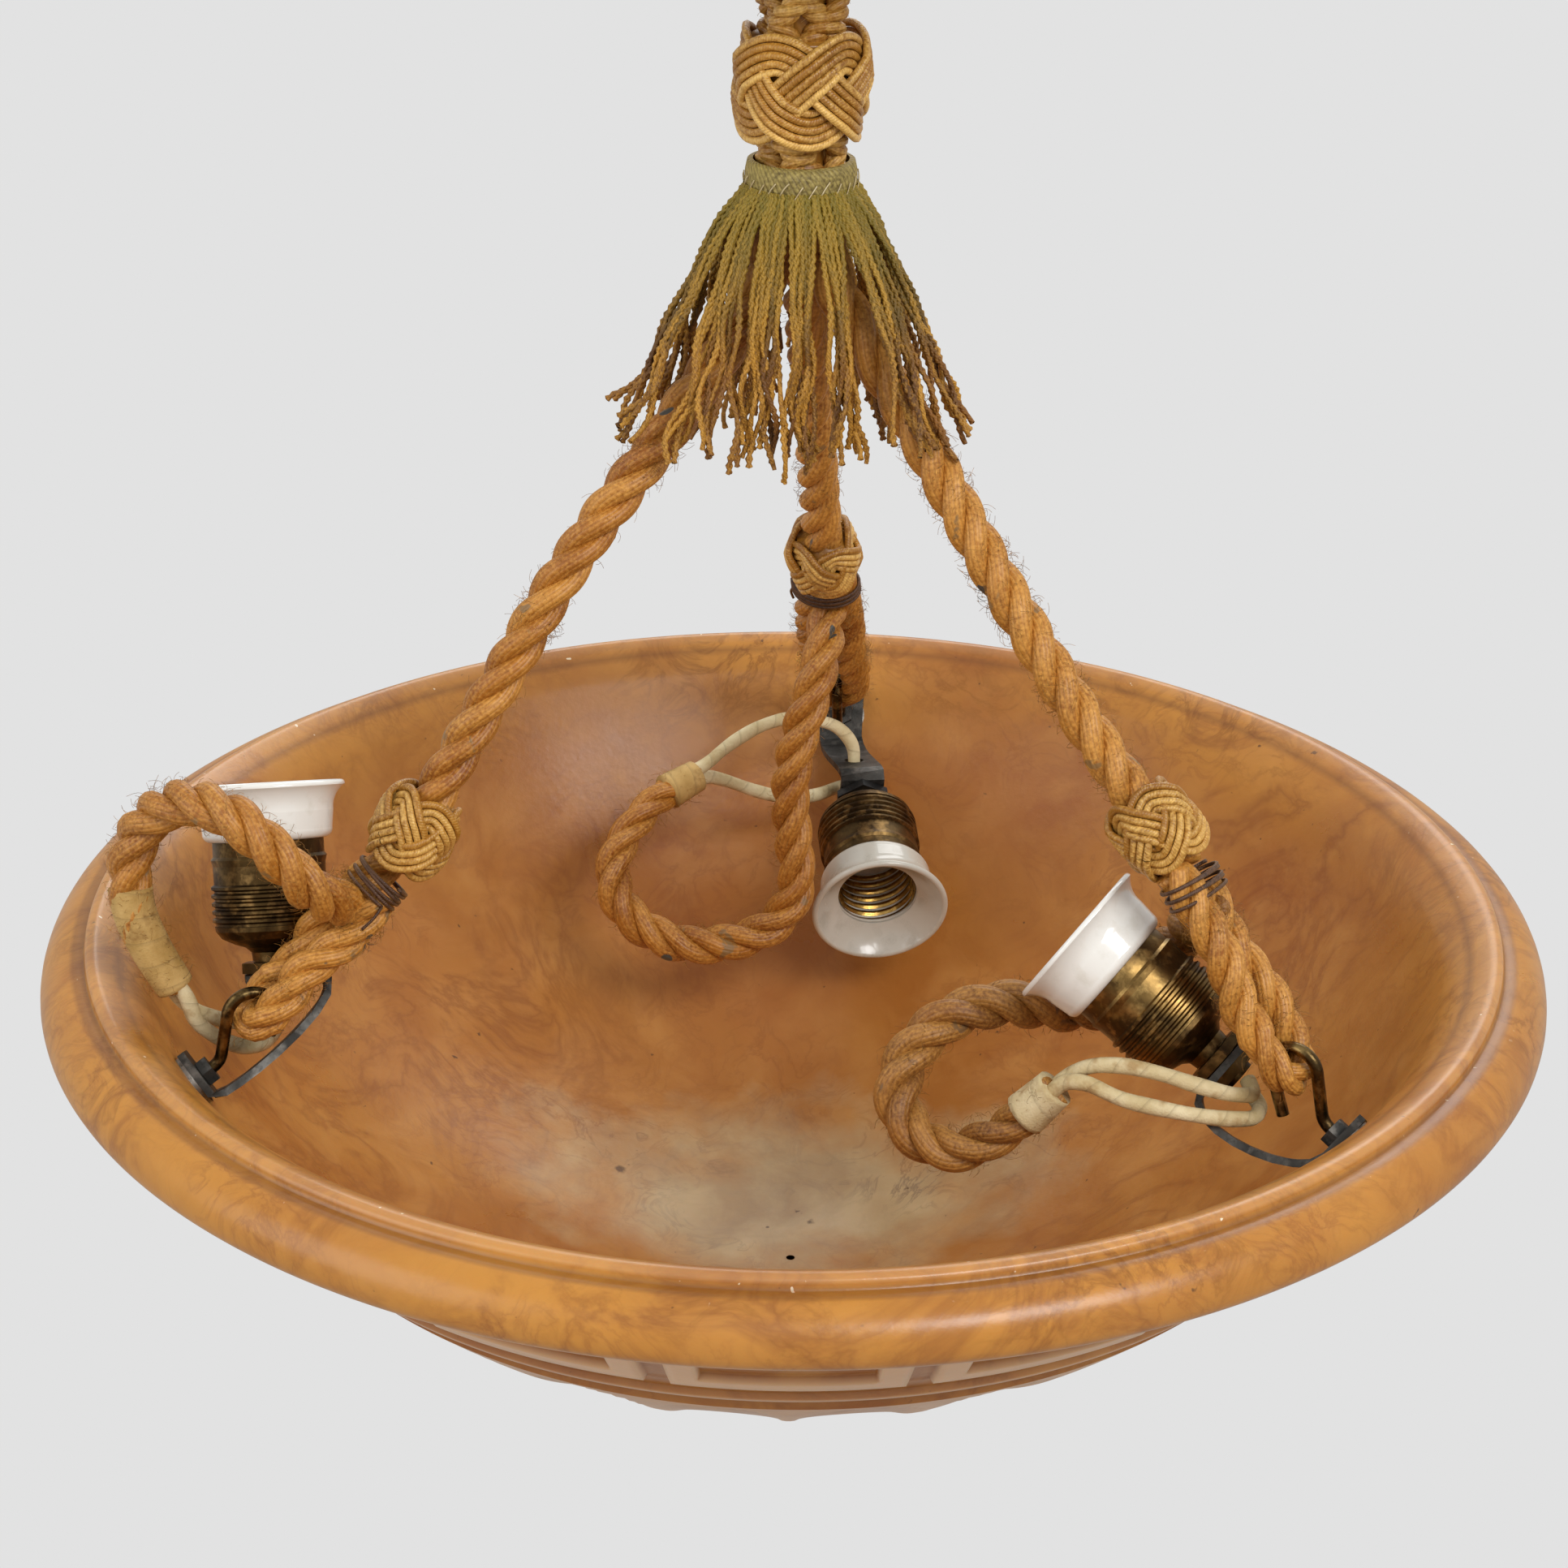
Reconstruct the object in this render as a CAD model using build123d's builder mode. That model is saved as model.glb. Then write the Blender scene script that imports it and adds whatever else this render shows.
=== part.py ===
"""Alabaster bowl pendant: a carved stone bowl on three ropes under one braided rope.

Millimetres, +Z up. The origin is the centre of the ceiling plate's upper face, and the
lamp hangs below it. Heights in the model are written from the widest line of the bowl's
rim bead, and up() turns them into the frame's Z. Azimuths turn from +X towards +Y.
"""
import os
from math import cos, exp, hypot, pi, radians, sin, sqrt, tan

from build123d import *

os.makedirs("parts", exist_ok=True)

# ---------------------------------------------------------------- driving dimensions
DROP = 420.0              # ceiling to the widest line of the rim bead
BOWL_RADIUS = 240.0       # widest radius, on the bead
OUTER_SPHERE = 243.0      # radius of the bowl's outer curve
SPHERE_HEIGHT = 106.5     # height of the centre of both bowl curves
WALL = 11.0               # stone thickness

HOOK_SIDES = {"left": 205.0, "right": 325.0, "back": 85.0}   # azimuth of each rope
ROPE_D = 12.0             # three-strand rope legs
BRAID_D = 27.6            # braided rope to the ceiling
JUNCTION = 240.0          # height where the braid opens into three legs
SMALL_KNOT = (28.0, 26.0)     # diameter and length of a small cord knot
BIG_KNOT = (41.6, 33.0)       # the same of the large one
BIG_KNOT_HEIGHT = 276.5
BUNDLE_D = 18.0           # doubled-back rope under a small knot
EYE_D = 9.2               # one strand of the eye on the hook
FLEX_D = 11.0             # twisted pair of covered wires
WIRE_D = 5.0              # one wire in its cloth tape
THREAD_D = 1.3            # dark lashing thread

HOOK_WIRE_D = 3.8
HOOK_HOLE_R = 2.4
WASHER_R, WASHER_T = 8.5, 1.4
NUT_AF, NUT_T = 8.0, 3.4
STRAP_W, STRAP_T = 16.0, 2.3

# lampholder, measured back from the mouth along its axis
LIP_R = 24.5              # flared porcelain lip
RING_LENGTH = 17.6
SHELL_END = 43.4
CAP_END = 54.8
PLATE_AT = 60.0           # middle of the strap's end plate
THREAD_R = 13.4           # screw shell for the bulb cap

CEILING_HOLE_SPACING = 60.0
CEILING_HOLE_R = 2.6
PLATE_R, PLATE_T = 43.0, 2.5
CANOPY_BOTTOM = -88.0     # Z of the canopy's open end


def up(height):
    """Height above the widest line of the rim, as Z in the frame."""
    return height - DROP


def polar(azimuth, radius, height):
    """Point at an azimuth, a radius from the bowl's axis and a height above the rim."""
    angle = radians(azimuth)
    return Vector(radius * cos(angle), radius * sin(angle), up(height))


def bend_radii(points):
    """Largest even bends for a route: 0.45 of the shorter run over the tangent of half the turn."""
    vectors = [Vector(*point) for point in points]
    radii = []
    for before, corner, after in zip(vectors, vectors[1:], vectors[2:]):
        turn = radians((corner - before).get_angle(after - corner))
        shorter = min((corner - before).length, (after - corner).length)
        radii.append(0.45 * shorter / tan(turn / 2))
    return radii


def tube(points, diameter):
    """Sweep a round cord along a route of straight runs and tangent arcs, in the open part."""
    with BuildLine() as route:
        FilletPolyline(*points, radius=bend_radii(points))
    with BuildSketch(Plane(origin=route.line @ 0, z_dir=route.line % 0)) as section:
        Circle(diameter / 2)
    sweep(section.sketch, path=route.line)


def write(part, node):
    """Label a finished piece and write it under its node's name."""
    part.label = node
    export_step(part, f"parts/{node}.step")


# ---------------------------------------------------------------- bowl
INNER_SPHERE = OUTER_SPHERE - WALL
LIP_TOP = 14.4            # height of the small ridge round the mouth
BEAD_UNDERSIDE = -6.5
RELIEF = 1.8              # depth of the turned grooves round the body
HOOK_TILT = radians(30.2)     # the hook bolts stand square to the wall
GROOVE_BANDS = [(50.6, 48.4), (47.7, 45.2)]   # degrees from straight down


def sphere_radius(sphere, height):
    return sqrt(sphere**2 - (SPHERE_HEIGHT - height) ** 2)


with BuildPart() as bowl:
    body_top = sphere_radius(OUTER_SPHERE, BEAD_UNDERSIDE)
    flare_low = sphere_radius(INNER_SPHERE, 2.0)
    half_way = radians(40)
    with BuildSketch(Plane.XZ):
        with BuildLine():
            outer = ThreePointArc(
                (0, up(SPHERE_HEIGHT - OUTER_SPHERE)),
                (OUTER_SPHERE * sin(half_way), up(SPHERE_HEIGHT - OUTER_SPHERE * cos(half_way))),
                (body_top, up(BEAD_UNDERSIDE)),
            )
            underside = Line(outer @ 1, (BOWL_RADIUS - 4.5, up(BEAD_UNDERSIDE)))
            bead_low = ThreePointArc(
                underside @ 1, (BOWL_RADIUS - 1.2, up(-5.0)), (BOWL_RADIUS, up(-1.8))
            )
            bead_high = ThreePointArc(
                bead_low @ 1, (BOWL_RADIUS - 3.6, up(7.0)), (BOWL_RADIUS - 12.5, up(10.8))
            )
            groove = Line(bead_high @ 1, (BOWL_RADIUS - 14.2, up(10.6)))
            step = Line(groove @ 1, (BOWL_RADIUS - 14.6, up(13.4)))
            ridge = ThreePointArc(
                step @ 1, (BOWL_RADIUS - 17.0, up(LIP_TOP)), (BOWL_RADIUS - 19.6, up(13.6))
            )
            flare = ThreePointArc(ridge @ 1, (213.6, up(9.2)), (flare_low, up(2.0)))
            inner = ThreePointArc(
                flare @ 1,
                (INNER_SPHERE * sin(half_way), up(SPHERE_HEIGHT - INNER_SPHERE * cos(half_way))),
                (0, up(SPHERE_HEIGHT - INNER_SPHERE)),
            )
            Line(inner @ 1, outer @ 0)
        make_face()
    revolve(axis=Axis.Z)
    for steep, shallow in GROOVE_BANDS:
        floor = OUTER_SPHERE - RELIEF
        middle = (steep + shallow) / 2
        with BuildSketch(Plane.XZ):
            with BuildLine():
                corners = [
                    (distance * sin(radians(turn)), up(SPHERE_HEIGHT - distance * cos(radians(turn))))
                    for distance, turn in (
                        (floor, steep), (floor, middle), (floor, shallow),
                        (OUTER_SPHERE + 3, shallow), (OUTER_SPHERE + 3, steep),
                    )
                ]
                ThreePointArc(*corners[:3])
                Polyline(*corners[2:], corners[0])
            make_face()
        revolve(axis=Axis.Z, mode=Mode.SUBTRACT)
    for azimuth in HOOK_SIDES.values():
        outwards = polar(azimuth, cos(HOOK_TILT), 0) + Vector(0, 0, DROP - sin(HOOK_TILT))
        drill = Plane(origin=(0, 0, up(SPHERE_HEIGHT)), z_dir=outwards)
        with BuildSketch(drill.offset(INNER_SPHERE - 10)):
            Circle(HOOK_HOLE_R)
        extrude(amount=WALL + 20, mode=Mode.SUBTRACT)
write(bowl.part, "bowl")

# ---------------------------------------------------------------- hook bolts through the rim


class Bolt:
    """Place and directions of one hook bolt: inwards along it, down the wall and sideways."""

    def __init__(self, azimuth):
        self.outward = polar(azimuth, 1, 0) + Vector(0, 0, DROP)
        rise = Vector(0, 0, 1)
        self.inward = self.outward * -cos(HOOK_TILT) + rise * sin(HOOK_TILT)
        self.down_wall = self.outward * -sin(HOOK_TILT) - rise * cos(HOOK_TILT)
        self.side = self.inward.cross(self.down_wall)
        self.centre = Vector(0, 0, up(SPHERE_HEIGHT))
        self.wall = self.centre - self.inward * INNER_SPHERE

    def level(self, height):
        """Plane square to the bolt, a height above the inner face of the wall."""
        return Plane(
            origin=self.wall + self.inward * height, x_dir=self.down_wall, z_dir=self.inward
        )


bolts = {side: Bolt(azimuth) for side, azimuth in HOOK_SIDES.items()}

# radius and height of the arch over the rope's eye: two corners, then each hook's tip
HOOK_ARCH = [(186.6, 18.4), (171.0, 13.4)]
HOOK_TIPS = {"left": (175.6, 1.0), "right": (178.4, -7.0), "back": (178.4, -7.0)}
HOOK_BENDS = [6.0, 7.2, 7.2]
SHANK_OUT, SHANK_IN = 21.0, 10.6      # from the inner face of the wall
INNER_STACK = WASHER_T + STRAP_T + 0.1
SEAT = 0.2                # the washers bed on a thin skin of putty

with BuildPart() as hook_bolts:
    for side, azimuth in HOOK_SIDES.items():
        shank = [bolts[side].wall - bolts[side].inward * SHANK_OUT,
                 bolts[side].wall + bolts[side].inward * SHANK_IN]
        arch = [polar(azimuth, *corner) for corner in HOOK_ARCH + [HOOK_TIPS[side]]]
        with BuildLine() as hook:
            FilletPolyline(*shank, *arch, radius=HOOK_BENDS)
        with BuildSketch(Plane(origin=hook.line @ 0, z_dir=hook.line % 0)):
            Circle(HOOK_WIRE_D / 2)
        sweep(path=hook.line)
write(hook_bolts.part, "hook_bolts")

with BuildPart() as wall_washers:
    for bolt in bolts.values():
        for low in (SEAT, -WALL - SEAT - WASHER_T):
            with BuildSketch(bolt.level(low)):
                Circle(WASHER_R)
                Circle(HOOK_HOLE_R, mode=Mode.SUBTRACT)
            extrude(amount=WASHER_T)
write(wall_washers.part, "wall_washers")

with BuildPart() as wall_nuts:
    for bolt in bolts.values():
        for low in (SEAT + INNER_STACK + 0.1, -WALL - SEAT - WASHER_T - NUT_T - 0.1):
            with BuildSketch(bolt.level(low)):
                RegularPolygon(NUT_AF / 2, 6, major_radius=False)
                Circle(HOOK_WIRE_D / 2 + 0.05, mode=Mode.SUBTRACT)
            extrude(amount=NUT_T)
write(wall_nuts.part, "wall_nuts")

# ---------------------------------------------------------------- ropes, knots and lashings
KNOT_PLACES = {"left": (127.0, 60.5), "right": (130.5, 73.5), "back": (101.0, 92.5)}
LEG_GAP = 1.4             # the legs open out just under the end of the braid
LEG_ROUTES = {
    "left": [(7.3, JUNCTION - LEG_GAP), (11.5, 216), (38.5, 181), (76.0, 138.0), (102.5, 97.5)],
    "right": [(7.3, JUNCTION - LEG_GAP), (11.5, 218), (36.0, 188), (71.2, 140.5), (106.0, 98.5)],
    "back": [(7.3, JUNCTION - LEG_GAP), (11.5, 217), (33.0, 186), (66.0, 142.0)],
}
EYE_REST = (180.6, 7.6)       # middle of the strand that lies under the hook's arch
BUNDLE_STOP = 21.0            # the bundle opens into its eye this far above that strand


def towards(start, end):
    """Unit step between two (radius, height) points, and the distance."""
    run = hypot(end[0] - start[0], end[1] - start[1])
    return ((end[0] - start[0]) / run, (end[1] - start[1]) / run), run


for side, azimuth in HOOK_SIDES.items():
    knot_at = KNOT_PLACES[side]
    route = LEG_ROUTES[side]
    (ax, az), _ = towards(route[-1], knot_at)
    half_knot = SMALL_KNOT[1] / 2
    leg_end = (knot_at[0] + ax * half_knot, knot_at[1] + az * half_knot)
    leg_points = [polar(azimuth, *point) for point in route + [leg_end]]
    with BuildPart() as rope_leg:
        tube(leg_points, ROPE_D)
    write(rope_leg.part, f"rope_leg_{side}")
    radii = [round(radius, 1) for radius in bend_radii(leg_points)]
    print(f"rope_leg_{side} radii", radii, "volume over section x length",
          round(rope_leg.part.volume / (pi * ROPE_D**2 / 4), 1))

    # the knot is a barrel of woven cord gripping the rope
    along = Vector(*(polar(azimuth, *leg_end) - polar(azimuth, *knot_at)))
    knot_plane = Plane(origin=polar(azimuth, *knot_at), z_dir=along)
    with BuildPart() as knot:
        with BuildSketch(Plane(origin=knot_plane.origin, x_dir=knot_plane.x_dir,
                               z_dir=knot_plane.y_dir)):
            grip, belly = ROPE_D / 2, SMALL_KNOT[0] / 2
            with BuildLine():
                Line((grip, -half_knot), (grip, half_knot))
                Line((grip, half_knot), (grip + 3, half_knot))
                ThreePointArc((grip + 3, half_knot), (belly, 0), (grip + 3, -half_knot))
                Line((grip + 3, -half_knot), (grip, -half_knot))
            make_face()
        revolve(axis=Axis(knot_plane.origin, along))
    write(knot.part, f"knot_{side}")

    # rope doubled back on itself, and the eye that it leaves for the hook
    (bx, bz), run = towards(leg_end, EYE_REST)
    open_at = (EYE_REST[0] - bx * BUNDLE_STOP, EYE_REST[1] - bz * BUNDLE_STOP)
    top = polar(azimuth, *leg_end)
    split = polar(azimuth, *open_at)
    rest = polar(azimuth, *EYE_REST)
    pull = (split - rest).normalized()
    sideways = bolts[side].side
    spread = EYE_D / 2 + 1.8
    eye_points = [
        split + pull * 4 + sideways * (EYE_D / 2 + 0.1),
        rest + pull * 11 + sideways * spread,
        rest + sideways * spread,
        rest - sideways * spread,
        rest + pull * 11 - sideways * spread,
        split + pull * 4 - sideways * (EYE_D / 2 + 0.1),
    ]
    length = (split - top).length
    with BuildPart() as rope_loop:
        with BuildLine() as eye:
            FilletPolyline(*eye_points, radius=[14.0, 5.6, 5.6, 14.0])
        with BuildSketch(Plane(origin=eye.line @ 0, z_dir=eye.line % 0)) as strand:
            Circle(EYE_D / 2)
        sweep(strand.sketch, path=eye.line)
        stages = ((0.1, BUNDLE_D / 2 - 1.5), (length * 0.4, BUNDLE_D / 2),
                  (length, BUNDLE_D / 2 + 0.3))
        rounds = []
        for distance, radius in stages:
            with BuildSketch(Plane(origin=top - pull * distance, x_dir=sideways,
                                   z_dir=pull * -1), mode=Mode.PRIVATE) as stage:
                Circle(radius)
            rounds.append(stage.sketch)
        add(loft(rounds, mode=Mode.PRIVATE))
    write(rope_loop.part, f"rope_loop_{side}")

with BuildPart() as braided_rope:
    with BuildSketch(Plane.XY.offset(up(JUNCTION) + 0.2)):
        Circle(BRAID_D / 2)
    extrude(amount=-76.0 - up(JUNCTION) - 0.2)
write(braided_rope.part, "braided_rope")
print("braided_rope length", round(-76.0 - up(JUNCTION), 1))

with BuildPart() as top_knot:
    half = BIG_KNOT[1] / 2
    with BuildSketch(Plane.XZ):
        with BuildLine():
            grip, belly = BRAID_D / 2, BIG_KNOT[0] / 2
            middle_z = up(BIG_KNOT_HEIGHT)
            Polyline((grip + 3, middle_z - half), (grip, middle_z - half),
                     (grip, middle_z + half), (grip + 3, middle_z + half))
            ThreePointArc((grip + 3, middle_z + half), (belly, middle_z),
                          (grip + 3, middle_z - half))
        make_face()
    revolve(axis=Axis.Z)
write(top_knot.part, "top_knot")

# ---------------------------------------------------------------- dark thread lashings
LASH_TURNS = 5
LASH_PITCH = 1.75


def arc_pair(start, leave, end, arrive):
    """Two tangent arcs from one point and direction to another."""
    chord = end - start
    both = leave + arrive
    a = 2 * (1 - leave.dot(arrive))
    b = 2 * chord.dot(both)
    c = -chord.dot(chord)
    reach = -c / b if abs(a) < 1e-9 else (-b + sqrt(b * b - 4 * a * c)) / (2 * a)
    first, second = start + leave * reach, end - arrive * reach
    join = (first + second) * 0.5
    TangentArc(start, join, tangent=leave)
    TangentArc(join, end, tangent=(second - first).normalized())


def winding(plane, radius, turns, pitch, thread):
    """One unbroken thread wound round the plane's Z axis, in the open part."""
    def spot(turn):
        angle = 2 * pi * turn
        here = plane.x_dir * (radius * cos(angle)) + plane.y_dir * (radius * sin(angle))
        return plane.origin + here + plane.z_dir * (pitch * turn)

    def heading(turn):
        angle = 2 * pi * turn
        here = plane.x_dir * (-radius * sin(angle)) + plane.y_dir * (radius * cos(angle))
        return (here + plane.z_dir * (pitch / (2 * pi))).normalized()

    with BuildLine() as line:
        for quarter in range(4 * turns):
            now, then = quarter / 4, (quarter + 1) / 4
            arc_pair(spot(now), heading(now), spot(then), heading(then))
    with BuildSketch(Plane(origin=line.line @ 0, z_dir=line.line % 0)) as section:
        Circle(thread / 2)
    sweep(section.sketch, path=line.line)
    return line.line


for side, azimuth in HOOK_SIDES.items():
    knot_at = KNOT_PLACES[side]
    (ax, az), _ = towards(LEG_ROUTES[side][-1], knot_at)
    leg_end = (knot_at[0] + ax * SMALL_KNOT[1] / 2, knot_at[1] + az * SMALL_KNOT[1] / 2)
    (bx, bz), run = towards(leg_end, EYE_REST)
    axis_dir = polar(azimuth, *EYE_REST) - polar(azimuth, *leg_end)
    start = polar(azimuth, leg_end[0] + bx * 2.0, leg_end[1] + bz * 2.0)
    lash_radius = BUNDLE_D / 2 + THREAD_D / 2 + 0.35
    with BuildPart() as lashing:
        thread_line = winding(Plane(origin=start, z_dir=axis_dir), lash_radius, LASH_TURNS,
                              LASH_PITCH, THREAD_D)
    write(lashing.part, f"lashing_{side}")
    count = 24 * LASH_TURNS
    beads = [thread_line @ (step / count) for step in range(count + 1)]
    least = min(
        (beads[i] - beads[j]).length
        for i in range(len(beads)) for j in range(i + 12, len(beads))
    )
    print(f"lashing_{side} least gap to itself", round(least - THREAD_D, 2))

# ---------------------------------------------------------------- fringe on its sewn collar
COLLAR_LOW, COLLAR_HIGH = 244.0, 254.0
COLLAR_R = 16.2
STRANDS = 78
STRAND_D = 2.1


def drape(azimuth):
    """How far a strand at this azimuth is carried out by a rope leg, from 0 to 1."""
    nearest = min(abs((azimuth - rope + 180) % 360 - 180) for rope in HOOK_SIDES.values())
    return exp(-((nearest / 27.0) ** 2))


def strand_points(azimuth):
    """Middle of a strand at the collar, the shoulder, half way and the end."""
    lift = drape(azimuth)
    return [
        polar(azimuth, COLLAR_R - 0.4, COLLAR_LOW + 2.0),
        polar(azimuth, 22.5 + 4.5 * lift, 236.0),
        polar(azimuth, 29.0 + 18.0 * lift, 205.0 - 7.0 * lift),
        polar(azimuth, 30.5 + 39.0 * lift, 151.0 + 9.0 * lift),
    ]


with BuildPart() as fringe:
    with BuildSketch(Plane.XY.offset(up(COLLAR_LOW))):
        Circle(COLLAR_R)
        Circle(BRAID_D / 2, mode=Mode.SUBTRACT)
    extrude(amount=COLLAR_HIGH - COLLAR_LOW)
    strands = []
    for number in range(STRANDS):
        azimuth = 360.0 * number / STRANDS
        middle = strand_points(azimuth)
        across = Vector(-sin(radians(azimuth)), cos(radians(azimuth)), 0)
        widths = (1.1, 1.6, STRAND_D, STRAND_D)
        sections = []
        for index, point in enumerate(middle):
            before, after = middle[max(index - 1, 0)], middle[min(index + 1, 3)]
            facing = Plane(origin=point, x_dir=across, z_dir=(after - before).normalized())
            with BuildSketch(facing, mode=Mode.PRIVATE) as section:
                Rectangle(widths[index], STRAND_D)
            sections.append(section.sketch)
        strands.append(loft(sections, ruled=True, mode=Mode.PRIVATE))
    add(strands)
write(fringe.part, "fringe")

# ---------------------------------------------------------------- lampholders on their straps
# Mouth, axis out of the mouth and the strap's way across its end plate. Heights from the rim.
LAMPS = {
    "left": {"mouth": (-164.0, -28.5, 64.0), "axis": (-0.064, 0.402, 0.913)},
    "right": {"mouth": (85.0, -63.4, 33.0), "axis": (-0.758, 0.355, 0.548)},
    "back": {"mouth": (30.9, 100.3, -43.8), "axis": (0.107, -0.941, -0.322)},
}
PLATE_WAYS = {
    "left": (-0.973, -0.196, 0.018), "right": (0.643, 0.292, 0.7), "back": (0.0, 0.0, -1.0)
}
# each strap's way along the wall, from its tab under the nut
TAB_WAYS = {
    "left": (0.606, -0.293, -0.731), "right": (-0.676, -0.275, -0.681),
    "back": (-0.044, -0.501, -0.864),
}
BOW_REACH = {"left": (5.0, 24.0), "right": (12.0, 15.0), "back": (11.0, 8.0)}
TAB_ENDS = {"left": (-9.0, 6.5), "right": (-9.0, 6.5), "back": (-10.0, 7.0)}
PLATE_HALF = 9.3
BOW_STEPS = 10
NIPPLE_R, NIPPLE_BORE = 5.0, 3.4
CABLE_HOLE = {"back": (21.7, 166.0)}      # one wire drops through this strap to the nipple
HEX_AF, HEX_T = 18.5, 3.6
BACK_NUT_AF = 14.0


class Lamp:
    """Axis of one lampholder, with planes square to it counted back from the mouth."""

    def __init__(self, mouth, axis):
        self.mouth = Vector(mouth[0], mouth[1], up(mouth[2]))
        self.axis = Vector(*axis).normalized()

    def back(self, distance):
        return self.mouth - self.axis * distance

    def level(self, distance):
        return Plane(origin=self.back(distance), z_dir=self.axis * -1)

    def profile(self):
        """Plane through the axis: local x is radius, local y is the distance back."""
        level = self.level(0)
        return Plane(origin=self.mouth, x_dir=level.x_dir, z_dir=level.x_dir.cross(level.z_dir))

    def line(self):
        return Axis(self.mouth, self.axis * -1)


lamps = {side: Lamp(**facts) for side, facts in LAMPS.items()}


def turned(lamp, outline):
    """Revolve a closed (radius, distance back) outline round the lamp's axis."""
    with BuildSketch(lamp.profile()) as profile:
        with BuildLine():
            Polyline(*outline, outline[0])
        make_face()
    revolve(profile.sketch, axis=lamp.line())


def bezier(points, t):
    a, b, c, d = points
    s = 1 - t
    return a * s**3 + b * (3 * s * s * t) + c * (3 * s * t * t) + d * t**3


for side, lamp in lamps.items():
    bolt = bolts[side]
    # strap: a flat bar from the tab under the nut, round a bow, to the plate behind the lamp
    plate_mid = lamp.back(PLATE_AT)
    way = Vector(*PLATE_WAYS[side])
    way = (way - lamp.axis * way.dot(lamp.axis)).normalized()
    tab_mid = bolt.wall + bolt.inward * (SEAT + WASHER_T + 0.05 + STRAP_T / 2)
    tab_low, tab_high = TAB_ENDS[side]
    leave, arrive = BOW_REACH[side]
    tab_way = Vector(*TAB_WAYS[side])
    tab_way = (tab_way - bolt.inward * tab_way.dot(bolt.inward)).normalized()
    start = tab_mid + tab_way * tab_high
    end = plate_mid - way * PLATE_HALF
    bow = [start, start + tab_way * leave, end - way * arrive, end]
    stations = [tab_mid + tab_way * tab_low]
    stations += [bezier(bow, step / BOW_STEPS) for step in range(BOW_STEPS + 1)]
    stations += [plate_mid + way * PLATE_HALF]
    wide_first = bolt.inward.cross(tab_way)
    wide_last = lamp.axis.cross(way)
    if wide_first.dot(wide_last) < 0:
        wide_last = wide_last * -1
    last = len(stations) - 1
    with BuildPart() as strap:
        cuts = []
        for index, point in enumerate(stations):
            if index < 2:
                heading = tab_way
            elif index > last - 2:
                heading = way
            else:
                heading = (stations[index + 1] - stations[index - 1]).normalized()
            share = min(max((index - 1) / BOW_STEPS, 0), 1)
            wide = wide_first * (1 - share) + wide_last * share
            wide = (wide - heading * wide.dot(heading)).normalized()
            with BuildSketch(Plane(origin=point, x_dir=wide, z_dir=heading),
                             mode=Mode.PRIVATE) as cut:
                Rectangle(STRAP_W, STRAP_T)
            cuts.append(cut.sketch)
        add(loft(cuts, ruled=True, mode=Mode.PRIVATE))
        with BuildSketch(bolt.level(-2)):
            Circle(HOOK_HOLE_R)
        extrude(amount=10, mode=Mode.SUBTRACT)
        with BuildSketch(lamp.level(PLATE_AT - 4)):
            Circle(NIPPLE_R + 0.1)
        extrude(amount=8, mode=Mode.SUBTRACT)
        if side in CABLE_HOLE:
            with BuildSketch(Plane.XY.offset(up(-25))):
                with Locations(CABLE_HOLE[side]):
                    Circle(WIRE_D / 2 + 1.0)
            extrude(amount=18, mode=Mode.SUBTRACT)
    write(strap.part, f"strap_{side}")

    with BuildPart() as nipple:
        turned(lamp, [(NIPPLE_BORE, 50), (NIPPLE_R, 50), (NIPPLE_R, 66), (NIPPLE_BORE, 66)])
    write(nipple.part, f"nipple_{side}")

    with BuildPart() as nipple_nuts:
        for across, low in ((HEX_AF, PLATE_AT - STRAP_T / 2 - 0.1 - HEX_T),
                            (BACK_NUT_AF, PLATE_AT + STRAP_T / 2 + 0.1)):
            with BuildSketch(lamp.level(low)):
                RegularPolygon(across / 2, 6, major_radius=False)
                Circle(NIPPLE_R + 0.05, mode=Mode.SUBTRACT)
            extrude(amount=HEX_T - 0.4)
    write(nipple_nuts.part, f"nipple_nuts_{side}")

    with BuildPart() as cap:
        turned(lamp, [
            (15.6, SHELL_END + 0.1), (17.6, SHELL_END + 0.1), (17.4, 45.0), (15.6, 47.4),
            (12.0, 49.2), (8.6, 50.4), (6.9, 52.0), (6.6, CAP_END), (NIPPLE_R + 0.05, CAP_END),
            (NIPPLE_R + 0.05, 51.6), (8.0, 48.6), (12.6, 46.4),
        ])
    write(cap.part, f"lamp_cap_{side}")

    with BuildPart() as shell:
        rib_gap = 2.5
        ribs = []
        for rib in range(5):
            at = 30.6 + rib * rib_gap
            ribs += [(17.2, at), (18.2, at + 0.6), (18.2, at + 1.4), (17.2, at + 2.0)]
        turned(lamp, [
            (15.4, 8.6), (16.3, 8.6), (16.3, RING_LENGTH + 0.1), (17.1, RING_LENGTH + 0.1),
            (17.1, 22.0), (17.8, 23.0), (17.3, 25.0), *ribs, (17.2, SHELL_END), (15.4, SHELL_END),
        ])
    write(shell.part, f"lamp_shell_{side}")

    with BuildPart() as core:
        turned(lamp, [(14.15, 9.0), (15.3, 9.0), (15.3, 42.5), (0, 42.5), (0, 33.0), (14.15, 33.0)])
        with BuildSketch(lamp.level(32.0)):
            with PolarLocations(8.5, 2):
                Circle(1.7)
        extrude(amount=12, mode=Mode.SUBTRACT)
    write(core.part, f"porcelain_core_{side}")

    with BuildPart() as contacts:
        turned(lamp, [(THREAD_R, 9.4), (14.1, 9.4), (14.1, 32.6), (THREAD_R, 32.6)])
        turned(lamp, [(0, 28.6), (3.2, 29.2), (4.2, 32.9), (0, 32.9)])
    write(contacts.part, f"screw_shell_{side}")

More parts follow.
